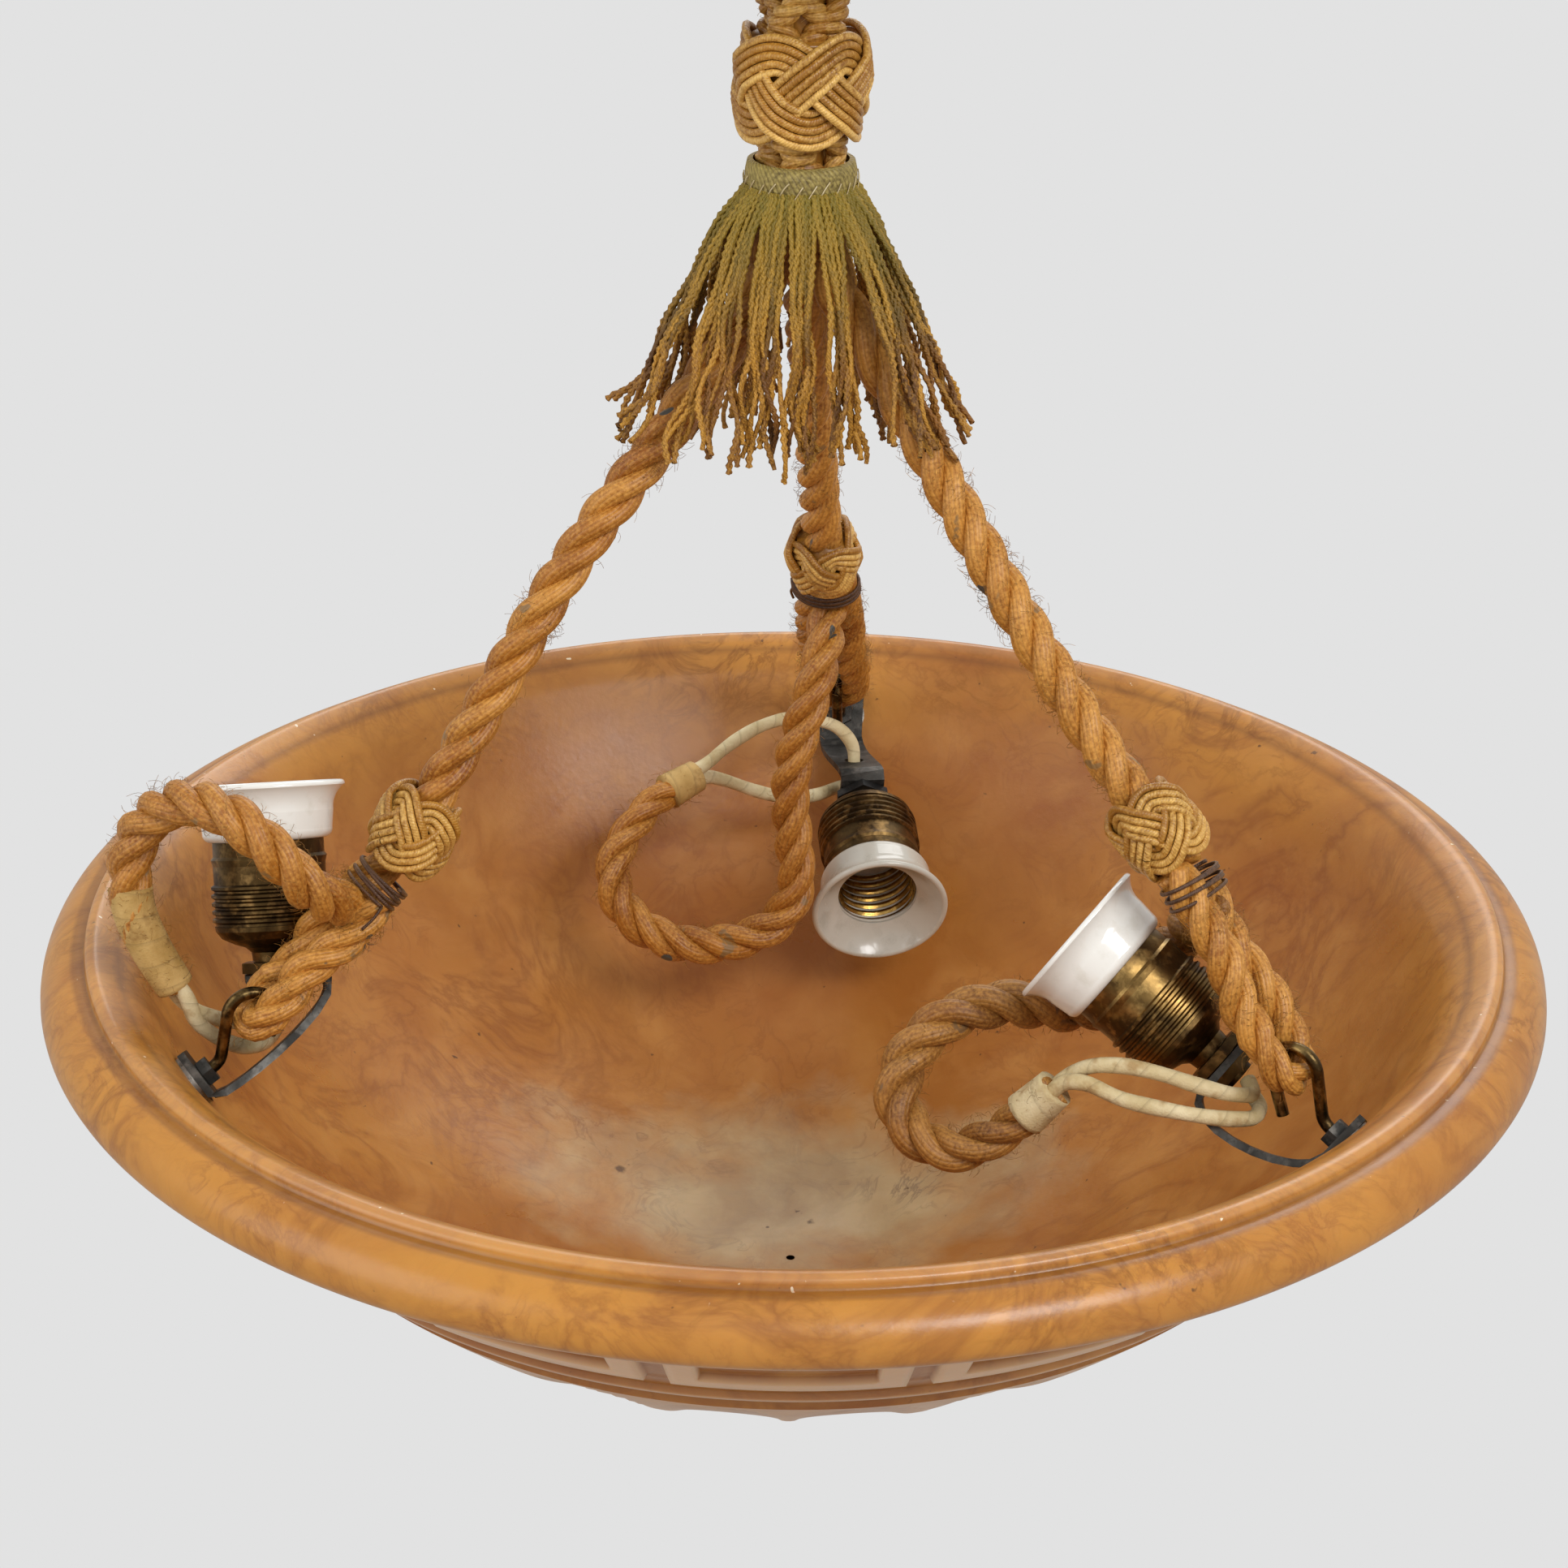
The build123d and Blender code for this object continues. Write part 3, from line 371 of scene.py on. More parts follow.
def metal_material(name, dark, middle, bright, metallic=1.0, rough=(0.28, 0.5), grime=0.55):
    """Aged metal: patches of tarnish, brighter worn places and fine scratches."""
    material, tree, surface, where = new_material(name)
    patches = noise(tree, where, 90.0, 5.0, 0.4)
    fine = noise(tree, where, 700.0, 4.0)
    shade = mixed(tree, between(tree, patches, 0.38, 0.62), srgb(dark), srgb(middle))
    shade = mixed(tree, between(tree, noise(tree, where, 240.0, 3.0), 0.5, 0.72), shade,
                  srgb(bright))
    shade = mixed(tree, between(tree, fine, 0.55, 0.72, 0.0, grime), shade, srgb("#1E1710"))
    gloss = between(tree, patches, 0.3, 0.7, rough[1], rough[0])
    finish_surface(tree, surface, Base_Color=shade, Metallic=metallic, Roughness=gloss,
                   Normal=bump(tree, fine, 0.00005))
    return material


brass_material = metal_material("aged_brass", "#3A2B1A", "#66502F", "#947548", rough=(0.34, 0.5),
                                grime=0.35)
# a brighter, more golden copy of the brass, for the right lampholder's shell only
warm_brass = metal_material("brighter_golden_brass", "#59452A", "#8A6E40", "#B6965C", rough=(0.34, 0.48),
                            grime=0.3)
bronze_material = metal_material("dark_bronze_wire", "#2B2116", "#5F4C2E", "#9C8150",
                                 rough=(0.24, 0.42))
bright_brass = metal_material("worn_bright_brass", "#7C5F2E", "#AD8744", "#D6B067",
                              rough=(0.2, 0.36), grime=0.3)
steel_material = metal_material("dark_grey_steel", "#33322F", "#4B4945", "#68645E", 0.7,
                                (0.42, 0.62))
zinc_material = metal_material("dull_zinc_plated_steel", "#7D7A74", "#A5A29B", "#C9C6BE",
                               rough=(0.3, 0.5))
black_material = metal_material("black_painted_steel", "#0E0D0C", "#1B1A18", "#2E2B28", 0.3,
                                (0.35, 0.5), 0.2)


def glaze_material(name, colour, shade_colour, rough):
    """Porcelain with faint dust, soft unevenness in the glaze and a clear coat."""
    material, tree, surface, where = new_material(name)
    dust = noise(tree, where, 160.0, 5.0)
    shade = mixed(tree, between(tree, dust, 0.52, 0.75, 0.0, 0.6), srgb(colour),
                  srgb(shade_colour))
    finish_surface(tree, surface, Base_Color=shade,
                   Roughness=between(tree, dust, 0.4, 0.7, rough, rough + 0.12),
                   Normal=bump(tree, noise(tree, where, 60.0, 2.0), 0.0002),
                   Coat_Weight=0.4, Coat_Roughness=0.06)
    return material


porcelain_material = glaze_material("white_glazed_porcelain", "#F1F0EA", "#D9D5C8", 0.1)
inner_porcelain = glaze_material("unglazed_porcelain", "#D8D3C6", "#B4AB98", 0.4)
# painted shade: a greyer copy of the white glaze, used only for the back lampholder's ring, stands
# for the shadow it hangs in
shade_grey_porcelain = glaze_material("shade_greyed_glazed_porcelain", "#C6C2B6", "#A29D8E", 0.2)
block_material = glaze_material("ivory_moulded_plastic", "#E4DFD0", "#CFC8B4", 0.3)

# %% [markdown]
# The alabaster is banded stone that lets light in: amber with brown veins, a grey and cream
# patch low in the front of the inside, and paler raised faces on the carving.

# %% alabaster
alabaster, tree, surface, where = new_material("veined_amber_alabaster")
split = add(tree, "ShaderNodeSeparateXYZ", {0: where})
height = maths(tree, "ADD", split.outputs[2], DROP)
warp = add(tree, "ShaderNodeTexNoise", {"Vector": where, "Scale": 9.0, "Detail": 4.0})
bent = add(tree, "ShaderNodeVectorMath", {
    0: where, 1: scaled(tree, warp.outputs[1], (0.035, 0.035, 0.035))},
    operation="ADD").outputs[0]
clouds = noise(tree, bent, 8.0, 5.0, 0.3)
mottle = noise(tree, bent, 34.0, 6.0, 0.5)
stone = mixed(tree, between(tree, clouds, 0.36, 0.64), srgb("#9C5C22"), srgb("#B97E38"))
stone = mixed(tree, between(tree, mottle, 0.46, 0.7, 0.0, 0.4), stone, srgb("#CE954E"))
rosy = between(tree, noise(tree, bent, 5.0, 3.0), 0.5, 0.68, 0.0, 0.4)
stone = mixed(tree, rosy, stone, srgb("#A5602A"))
on_bead = between(tree, height, -0.02, 0.004)
yellow = between(tree, noise(tree, bent, 16.0, 5.0, 0.5), 0.36, 0.6, 0.2, 0.8)
stone = mixed(tree, maths(tree, "MULTIPLY", on_bead, yellow), stone, srgb("#C88A36"))


def veins(scale, width, seed, power):
    """Thin crooked lines where a warped noise crosses its middle value."""
    shifted = add(tree, "ShaderNodeVectorMath", {0: bent, 1: (seed, seed * 0.7, seed * 1.9)},
                  operation="ADD").outputs[0]
    line = noise(tree, shifted, scale, 5.0, 1.6, 0.6)
    off = maths(tree, "ABSOLUTE", maths(tree, "SUBTRACT", line, 0.5))
    mask = between(tree, off, 0.0, width, 1.0, 0.0)
    patchy = between(tree, noise(tree, shifted, scale * 0.4, 2.0), 0.42, 0.62, 0.1, 1.0)
    return maths(tree, "MULTIPLY", maths(tree, "POWER", mask, power), patchy)


stone = mixed(tree, maths(tree, "MULTIPLY", veins(15.0, 0.09, 3.1, 2.0), 0.5), stone,
              srgb("#80441A"))
stone = mixed(tree, maths(tree, "MULTIPLY", veins(40.0, 0.07, 8.7, 1.9), 0.4), stone,
              srgb("#8A4E20"))
stone = mixed(tree, maths(tree, "MULTIPLY", veins(36.0, 0.08, 1.3, 1.9),
                          maths(tree, "MULTIPLY", on_bead, 0.7)), stone, srgb("#8A5418"))
# the grey and cream patch at the bottom of the inside
gap = add(tree, "ShaderNodeVectorMath", {0: where, 1: tuple(at(4.0, 30.0, -121.0))},
          operation="SUBTRACT").outputs[0]
spread = add(tree, "ShaderNodeVectorMath", {0: scaled(tree, gap, (13.3, 25.0, 0.0))},
             operation="LENGTH").outputs["Value"]
ragged = maths(tree, "MULTIPLY", maths(tree, "SUBTRACT", noise(tree, where, 28.0, 6.0)), 1.9)
inside_patch = maths(tree, "MULTIPLY", between(tree, maths(tree, "ADD", spread, ragged),
                                               0.55, 1.35, 1.0, 0.0),
                     between(tree, height, -0.131, -0.128))
cream = mixed(tree, between(tree, noise(tree, bent, 30.0, 5.0, 0.3), 0.38, 0.62),
              srgb("#B29A74"), srgb("#CDB88E"))
cream = mixed(tree, maths(tree, "MULTIPLY", veins(45.0, 0.045, 5.3, 1.2), 0.8), cream,
              srgb("#7A7060"))
stone = mixed(tree, maths(tree, "MULTIPLY", inside_patch, 0.8), stone, cream)
pits = between(tree, noise(tree, where, 210.0, 2.0), 0.74, 0.78)
for x, y, z, wide in ((-60, 38, -114.5, 2.6), (7, 21, -123.5, 2.2)):
    off = add(tree, "ShaderNodeVectorMath", {0: where, 1: tuple(at(x, y, z))},
              operation="DISTANCE").outputs["Value"]
    off = maths(tree, "ADD", off, maths(tree, "MULTIPLY", noise(tree, where, 500.0, 2.0), 0.003))
    pits = maths(tree, "MAXIMUM", pits, between(tree, off, wide * MM, wide * 1.5 * MM, 1.0, 0.0))
stone = mixed(tree, maths(tree, "MULTIPLY", pits, 0.8), stone, srgb("#4E3018"))
# paler raised faces of the carving, and darker edges to its recesses, come from the mesh
raised = attribute(tree, "tint")
pale = between(tree, raised, 0.5, 1.0, 0.0, 0.7)
stone = mixed(tree, pale, stone, srgb("#E6BC92"))
recess_darkening = between(tree, raised, 0.0, 0.45, 0.6, 0.0)
stone = mixed(tree, recess_darkening, stone, srgb("#6B3E1A"))
chips = between(tree, noise(tree, where, 330.0, 1.0), 0.765, 0.785)
near_lip = between(tree, height, 0.0095, 0.0125)
stone = mixed(tree, maths(tree, "MULTIPLY", chips, near_lip), stone, srgb("#F0E2C4"))
finish_surface(tree, surface, Base_Color=stone,
               Roughness=between(tree, mottle, 0.3, 0.7, 0.27, 0.36),
               Normal=bump(tree, noise(tree, where, 420.0, 3.0), 0.00012, 0.6),
               Subsurface_Weight=0.2, Subsurface_Radius=(1.0, 0.42, 0.16), Subsurface_Scale=0.012)

# %% bowl
OUTER, INNER, CENTRE = 243.0, 232.0, 106.5
UNITS, UNIT_COLUMNS, FLUTES = 16, 45, 24


def step_up(value, edge, width):
    """0 below the edge, 1 above, over a short smooth slope."""
    t = np.clip((value - edge) / width + 0.5, 0, 1)
    return t * t * (3 - 2 * t)


def arc_points(a, b, c, count):
    """Points along the arc through three (radius, height) points, without its first."""
    (ax, ay), (bx, by), (cx, cy) = a, b, c
    d = 2 * (ax * (by - cy) + bx * (cy - ay) + cx * (ay - by))
    aa, bb, cc = ax**2 + ay**2, bx**2 + by**2, cx**2 + cy**2
    ux = (aa * (by - cy) + bb * (cy - ay) + cc * (ay - by)) / d
    uy = (aa * (cx - bx) + bb * (ax - cx) + cc * (bx - ax)) / d
    angles = [np.arctan2(y - uy, x - ux) for x, y in (a, b, c)]
    angles = np.unwrap(angles)
    size = sqrt((ax - ux) ** 2 + (ay - uy) ** 2)
    return [(ux + size * cos(t), uy + size * sin(t))
            for t in np.linspace(angles[0], angles[2], count + 1)[1:]]


side = [38.65, 37.0, 35.3, 34.6, 32.0, 29.0, 27.0, 25.9, 25.1]
unit = np.array([-x for x in side] + list(np.linspace(-24, 24, UNIT_COLUMNS - 17)) + side[:0:-1])
pitch = 2 * side[0]
columns = (np.arange(UNITS)[:, None] + 0.5 + unit[None, :] / pitch).ravel() / UNITS
turns = columns * 2 * pi + radians(-90 - 360 / UNITS / 2)       # a frame stands at the front
in_unit = np.tile(unit, UNITS)
steep = [0.4, 4, 8, 11, 13] + list(np.arange(14.5, 43.6, 1.1)) + [
    43.9, 44.3, 44.6, 44.85, 45.05, 45.2, 45.4, 46.0, 46.7, 47.5, 47.7, 47.8, 48.1, 48.35, 48.5,
    48.7, 49.5, 50.3, 50.55, 50.75, 51.2, 51.8, 52.2, 52.4, 52.9, 53.7, 54.5, 55.0, 55.2, 55.8,
    56.5, 56.9, 57.1, 58.0, 59.5, 61.0, 62.2]
turn_deg = np.array(steep)[:, None]
x = in_unit[None, :]
band = step_up(turn_deg, 50.6, 0.2) * (1 - step_up(turn_deg, 57.0, 0.2))
slot = step_up(turn_deg, 52.3, 0.2) * (1 - step_up(turn_deg, 55.1, 0.2)) * (
    1 - step_up(np.abs(x), 25.5, 0.8))
gap_cut = step_up(np.abs(x), 34.95, 0.7)
groove = (step_up(turn_deg, 45.3, 0.2) - step_up(turn_deg, 47.75, 0.1)
          + step_up(turn_deg, 48.4, 0.2) - step_up(turn_deg, 50.6, 0.2))
# hollow flutes with rounded ends, side by side up to the lower groove
flute = ((turns[None, :] * FLUTES / (2 * pi)) % 1.0 - 0.5) * 2
close = np.clip((44.6 - turn_deg) / 6.0, 0, 1)
low_close = np.clip((turn_deg - 13.0) / 3.0, 0, 1)
half_width = 0.9 * np.sqrt(1 - (1 - close) ** 2) * np.sqrt(1 - (1 - low_close) ** 2)
hollow = np.clip(1 - (flute / np.maximum(half_width, 1e-3)) ** 2, 0, 1)
hollow = np.where(half_width > 0.02, np.sqrt(hollow), 0)
depth = 2.1 * np.maximum(slot, gap_cut * band) + 1.8 * groove + 2.2 * hollow * (turn_deg / 45)
depth = depth + 1.2 * step_up(turn_deg, 57.0, 0.2)
carved = np.clip(band * (1 - np.maximum(slot, gap_cut)), 0, 1)
# darker along the walls of the carved recesses, where the cut is about 1 mm deep
recess_edge_darkening = np.exp(-((depth - 1.0) / 0.55) ** 2) * (turn_deg > 44)
tint = 0.5 + 0.5 * carved - 0.25 * recess_edge_darkening
ridge_face = np.exp(-((turn_deg - 48.1) / 0.3) ** 2) * 0.3
petal = (1 - hollow) * (turn_deg < 45.2) * (turn_deg > 20) * 0.25
tint = np.clip(tint + ridge_face + petal, 0.1, 1)
reach = (OUTER - depth) * MM
sphere_rows = np.stack([
    reach * np.sin(np.radians(turn_deg)) * np.cos(turns)[None, :],
    reach * np.sin(np.radians(turn_deg)) * np.sin(turns)[None, :],
    CENTRE * MM - DROP - reach * np.cos(np.radians(turn_deg)) + 0 * x], axis=-1)

rim = [(216.5, -6.4), (226.0, -6.5), (235.5, -6.5)]
rim += arc_points((235.5, -6.5), (238.8, -5.0), (240.0, -1.8), 5)
rim += arc_points((240.0, -1.8), (236.4, 7.0), (227.5, 10.8), 12)
rim += [(226.2, 10.75), (225.8, 10.9), (225.5, 12.4), (225.2, 13.5)]
rim += arc_points((225.2, 13.5), (223.0, 14.4), (220.4, 13.6), 6)
rim += arc_points((220.4, 13.6), (213.6, 9.2), (207.1, 2.0), 6)
inner_turns = np.linspace(np.degrees(acos((CENTRE - 2.0) / INNER)), 0.4, 27)[1:]
rim += [(INNER * sin(radians(t)), CENTRE - INNER * cos(radians(t))) for t in inner_turns]
rim = np.array(rim)
rim_r = (rim[:, :1] - 0.15 + 0 * turns[None, :]) * MM
rim_rows = np.stack([rim_r * np.cos(turns), rim_r * np.sin(turns),
                     rim[:, 1:] * MM - DROP + 0 * turns[None, :]], axis=-1)
rim_tint = np.full(rim.shape[0], 0.5)
rim_tint[np.abs(rim[:, 1] - 10.8) < 0.35] = 0.12          # darker line along the groove
rim_tint[rim[:, 1] > 13.3] = 0.62
rim_tint = np.broadcast_to(rim_tint[:, None], rim_rows.shape[:2])
bowl = Shape()
rows = np.concatenate([sphere_rows, rim_rows])
bowl.grid(rows, np.append(columns, columns[0] + 1), np.linspace(0, 1, len(rows)),
          tint=np.concatenate([tint, rim_tint]))
bowl.build("carved_bowl", "pendant", alabaster, ["bowl"], "alabaster")

# %% [markdown]
# Ropes: each strand is a tube of its own, laid round the rope's line.

# %% ropes
STRANDS, STRAND_SHARE = 3, 0.4641     # of a rope, and the share each takes of its width
FIBRE_RADIUS = 0.00006


def laid(shape, path, size, lay=0.034, phase=0.0, sides=12, taper=None, hand=1):
    """Twisted rope along a path. size is its full diameter; lay is one turn, in metres."""
    along, a, b = frames_of(path)
    radius = size / 2 * STRAND_SHARE
    off = size / 2 - radius
    radius *= 1.08
    scale = np.ones(len(path)) if taper is None else taper(along / along[-1])
    for k in range(STRANDS):
        angle = hand * 2 * pi * along / lay + phase + 2 * pi * k / STRANDS
        centre = path + (a * np.cos(angle)[:, None] + b * np.sin(angle)[:, None]) * (
            off * scale)[:, None]
        wander = 1 + 0.05 * np.sin(along * 160 + 2.1 * k + phase)
        shape.tube(centre, radius * scale * wander, sides, tint=0.35 + 0.3 * random.random())


def fuzz(path, size, count, longest=0.0045, frays=()):
    """Loose fibres that stand off a rope, most of them at its frayed places."""
    along, a, b = frames_of(path)
    shape = Shape()
    for _ in range(count):
        share = random.random()
        if frays and random.random() < 0.6:
            share = random.gauss(random.choice(frays), 0.025)
        i = min(max(int(share * len(path)), 2), len(path) - 3)
        angle = random.uniform(0, 2 * pi)
        out = a[i] * cos(angle) + b[i] * sin(angle)
        heading = (path[i + 1] - path[i - 1]) / np.linalg.norm(path[i + 1] - path[i - 1])
        reach = random.uniform(0.25, 1) ** 2 * longest
        lean = heading * random.uniform(-1, 1) + np.cross(out, heading) * random.uniform(-1, 1)
        root = path[i] + out * size * 0.46
        line = [root + out * reach * t * (1 - 0.35 * t) + lean * reach * t * t
                for t in np.linspace(0, 1, 5)]
        shape.tube(np.array(line), FIBRE_RADIUS, 3, tint=0.6, ends=False)
    return shape


KNOT_PLACES = {"left": (127.0, 60.5), "right": (130.5, 73.5), "back": (101.0, 92.5)}
LEG_ROUTES = {
    "left": [(7.3, 238.6), (11.5, 216), (38.5, 181), (76.0, 138.0), (102.5, 97.5)],
    "right": [(7.3, 238.6), (11.5, 218), (36.0, 188), (71.2, 140.5), (106.0, 98.5)],
    "back": [(7.3, 238.6), (11.5, 217), (33.0, 186), (66.0, 142.0)],
}
EYE_REST = (180.6, 7.6)
LEG_SIZE, LOOP_SIZE = 0.0134, 0.0122
# fibres on each leg, and where along it the rope is frayed
FRAYED = {"left": (700, (0.35, 0.62)), "right": (1900, (0.32, 0.41, 0.52, 0.6, 0.72, 0.86)),
          "back": (600, (0.7, 0.9))}
leg_ends = {}
for side_name in SIDES:
    azimuth = AZIMUTH[side_name]
    last, knot_at = LEG_ROUTES[side_name][-1], KNOT_PLACES[side_name]
    run = Vector((knot_at[0] - last[0], knot_at[1] - last[1])).normalized() * 13.0
    leg_end = (knot_at[0] + run.x, knot_at[1] + run.y)
    leg_ends[side_name] = polar(azimuth, *leg_end)
    path = rounded_route([polar(azimuth, *p) for p in LEG_ROUTES[side_name] + [leg_end]])
    leg = Shape()
    laid(leg, path, LEG_SIZE, phase=random.uniform(0, 6), lay=0.040)
    count, frays = FRAYED[side_name]
    fuzz(path, LEG_SIZE, count, frays=frays).build(
        f"leg_fibres_{side_name}", "pendant", rope_material, slot="rope_silk")
    leg = leg.build(f"twisted_leg_{side_name}", "pendant", rope_material,
                    [f"rope_leg_{side_name}"], "rope_silk")

# rope doubled back from the knot round the hook and up again: share of the way up from the
# hook, half the distance between its two parts, and how far they lean out of line
LOOP_SHAPE = [(1.0, 0.0046, 0), (0.86, 0.0052, 0.001), (0.6, 0.006, 0.002),
              (0.36, 0.0062, -0.001), (0.2, 0.0068, 0), (0.09, 0.0066, 0)]


def eye_taper(t):
    """The strand is drawn thin where it bends round the hook."""
    return np.where(np.abs(t - 0.5) < 0.1, 0.86, 1.0)


for side_name in SIDES:
    azimuth = AZIMUTH[side_name]
    top, rest = leg_ends[side_name], polar(azimuth, *EYE_REST)
    pull = (top - rest).normalized()
    outward = Vector((cos(radians(azimuth)), sin(radians(azimuth)), 0))
    inward = -outward * cos(WALL_TILT) + Vector((0, 0, sin(WALL_TILT)))
    down_wall = -outward * sin(WALL_TILT) - Vector((0, 0, cos(WALL_TILT)))
    across = inward.cross(down_wall)
    lean = pull.cross(across)
    span = (top - rest).length
    line = [rest + pull * (span * s) + across * a + lean * o for s, a, o in LOOP_SHAPE]
    line += [rest + across * 0.0042 - pull * 0.0002, rest - across * 0.0042 - pull * 0.0002]
    line += [rest + pull * (span * s) - across * a - lean * o
             for s, a, o in LOOP_SHAPE[::-1][:-1]]
    path = smooth_route(line)
    doubled = Shape()
    laid(doubled, path, LOOP_SIZE, phase=1.3, lay=0.034, taper=eye_taper)
    fuzz(path, LOOP_SIZE, 1300, frays=(0.12, 0.3, 0.7, 0.9)).build(
        f"doubled_rope_fibres_{side_name}", "pendant", rope_material, slot="rope_silk")
    doubled.build(f"doubled_rope_{side_name}", "pendant", rope_material,
                  [f"rope_loop_{side_name}"], "rope_silk")

# %% lashings
LASH_TURNS, LASH_STEPS, LASH_PITCH = 5, 36, 0.00145
LASH_HALF = (0.0116, 0.0076)      # half the width and half the thickness of the winding
for side_name in SIDES:
    azimuth = AZIMUTH[side_name]
    top, rest = leg_ends[side_name], polar(azimuth, *EYE_REST)
    pull = (top - rest).normalized()
    a = Vector((-sin(radians(azimuth)), cos(radians(azimuth)), 0))
    b = pull.cross(a)
    lash = Shape()
    wound = []
    for k in range(LASH_TURNS * LASH_STEPS + 1):
        angle = 2 * pi * k / LASH_STEPS
        back = 0.003 + LASH_PITCH * k / LASH_STEPS + 0.0007 * sin(angle * 0.5)
        wound.append(top - pull * back + a * cos(angle) * LASH_HALF[0]
                     + b * sin(angle) * LASH_HALF[1])
    lash.tube(np.array([tuple(p) for p in wound]), 0.00062, 7)
    tail = [wound[-1], wound[-1] - pull * 0.004 + a * 0.001, wound[-1] - pull * 0.009 + a * 0.0005]
    lash.tube(smooth_route(tail, 0.0008), 0.0005, 6)
    lash.build(f"thread_lashing_{side_name}", "pendant", lash_material,
               [f"lashing_{side_name}"], "lashing_thread")

# %% Turk's head knots


def woven(centre, axis, profile, leads, bights, cords, thick, rise, phase=0.0):
    """A Turk's head round an axis. profile(t) gives (radius, distance along) for t in -1..1."""
    samples = leads * bights * 14
    t = np.arange(samples) / samples * 2 * pi * leads
    swing = np.sin(t * bights / leads + phase)
    # crossings in the unrolled plan, found by comparing every pair of points
    around = t % (2 * pi)
    gap_around = np.abs((around[:, None] - around[None, :] + pi) % (2 * pi) - pi)
    gap_swing = np.abs(swing[:, None] - swing[None, :])
    apart = np.abs(np.arange(samples)[:, None] - np.arange(samples)[None, :])
    apart = np.minimum(apart, samples - apart)
    measure = gap_around + gap_swing * 0.8 + (apart < samples / (4 * bights)) * 9.0
    nearest = measure.min(axis=1)
    local = (nearest < np.roll(nearest, 1)) & (nearest <= np.roll(nearest, -1)) & (nearest < 0.14)
    crossings = np.flatnonzero(local)
    keep = []
    for c in crossings:
        if not keep or c - keep[-1] > samples / (5 * bights * leads) * 1.2:
            keep.append(c)
    places = np.array(keep + [keep[0] + samples])
    signs = np.array([1 if k % 2 == 0 else -1 for k in range(len(places))], float)
    lift = np.interp(np.arange(samples) + (np.arange(samples) < places[0]) * samples, places, signs)
    axis = Vector(axis).normalized()
    a = axis.orthogonal().normalized()
    b = axis.cross(a)
    a, b, axis, centre = (np.array(tuple(v)) for v in (a, b, axis, centre))
    size, away = profile(swing)
    out = a[None] * np.cos(t)[:, None] + b[None] * np.sin(t)[:, None]
    line = centre + out * (size + rise * lift)[:, None] + axis * away[:, None]
    line = np.concatenate([line, line[:1]])
    out = np.concatenate([out, out[:1]])
    heading = np.gradient(line, axis=0)
    heading /= np.linalg.norm(heading, axis=1)[:, None]
    sideways = np.cross(out, heading)
    sideways /= np.linalg.norm(sideways, axis=1)[:, None]
    shape = Shape()
    for k in range(cords):
        shift = (k - (cords - 1) / 2) * thick * 2.02
        bulge = -0.25 * thick * (k - (cords - 1) / 2) ** 2 * 0.4
        shape.tube(line + sideways * shift + out * bulge, thick, 7, tint=0.3 + 0.4 * random.random(),
                   ends=False)
    return shape


def barrel(belly, end, half):
    return lambda s: (end + (belly - end) * np.sqrt(np.clip(1 - (s * 0.9) ** 2, 0, 1)), s * half)


for side_name in SIDES:
    azimuth = AZIMUTH[side_name]
    centre = polar(azimuth, *KNOT_PLACES[side_name])
    axis = leg_ends[side_name] - centre
    knot = woven(centre, axis, barrel(0.0116, 0.0070, 0.0082), 3, 5, 4, 0.00118, 0.0014, 0.4)
    core = [centre - axis.normalized() * 0.010, centre, centre + axis.normalized() * 0.010]
    knot.tube(smooth_route(core), 0.0088, 20, tint=0.2)
    knot.build(f"small_turks_head_{side_name}", "pendant", gimp_material,
               [f"knot_{side_name}"], "knot_cord")

knot = woven(at(0, 0, 276.5), (0, 0, 1), barrel(0.0184, 0.0158, 0.0106), 3, 5, 5, 0.00122, 0.0017)
knot.tube(np.array([tuple(at(0, 0, h)) for h in (263, 270, 283, 290)]), 0.0150, 32, tint=0.2)
knot.build("large_turks_head", "pendant", gimp_material, ["top_knot"], "knot_cord")

# %% braided rope to the ceiling
BRAID_TURN = 0.062        # height in which a cord goes once round the braid
braid = Shape()
braid_path = np.array([tuple(at(0, 0, h)) for h in np.arange(240.4, 343.8, 0.8)])
once_round = 2 * pi * (braid_path[:, 2] - braid_path[0, 2]) / BRAID_TURN
for hand in (1, -1):
    for k in range(4):
        angle = hand * once_round + 2 * pi * k / 4
        weave = 0.0017 * np.cos(4 * once_round + (0 if hand > 0 else pi) + pi * 0.5)
        reach = 0.0092 + weave
        centre = braid_path + np.stack([np.cos(angle) * reach, np.sin(angle) * reach,
                                        0 * angle], 1)
        laid(braid, centre, 0.0071, lay=0.0125, sides=8, phase=random.uniform(0, 6), hand=hand)
braid.tube(braid_path, 0.0068, 16, tint=0.1)
fuzz(braid_path, 0.0262, 400, 0.003).build("braid_fibres", "pendant", braid_material,
                                           slot="rope_silk")
braid.build("round_braid", "pendant", braid_material, ["braided_rope"], "rope_silk")

# %% fringe
HANG, BUNCH = 150, 9.4            # strands, and how many hang together
PLY_LAY, PLY_OFF, PLY_RADIUS = 0.0056, 0.00058, 0.00068
COLLAR = ((14.4, 243.6), (16.0, 244.2), (16.6, 247), (16.5, 251), (15.9, 253.8), (14.2, 254.2))
STITCHES = 26
collar = Shape()
ring = np.array([[cos(2 * pi * k / 60), sin(2 * pi * k / 60), 0] for k in range(60)])
collar_rows = []
for radius, h in COLLAR:
    collar_rows.append(ring * radius * MM + np.array([0, 0, h * MM - DROP]))
collar.grid(np.array(collar_rows), np.arange(61) / 60, np.arange(6) * 0.0025)
collar.build("fringe_collar", "pendant", collar_material, slot="fringe_silk")


def drape(azimuth):
    """1 over a rope leg, falling to 0 between the legs."""
    nearest = min(abs((azimuth - a + 180) % 360 - 180) for a in AZIMUTH.values())
    return exp(-((nearest / 27.0) ** 2))


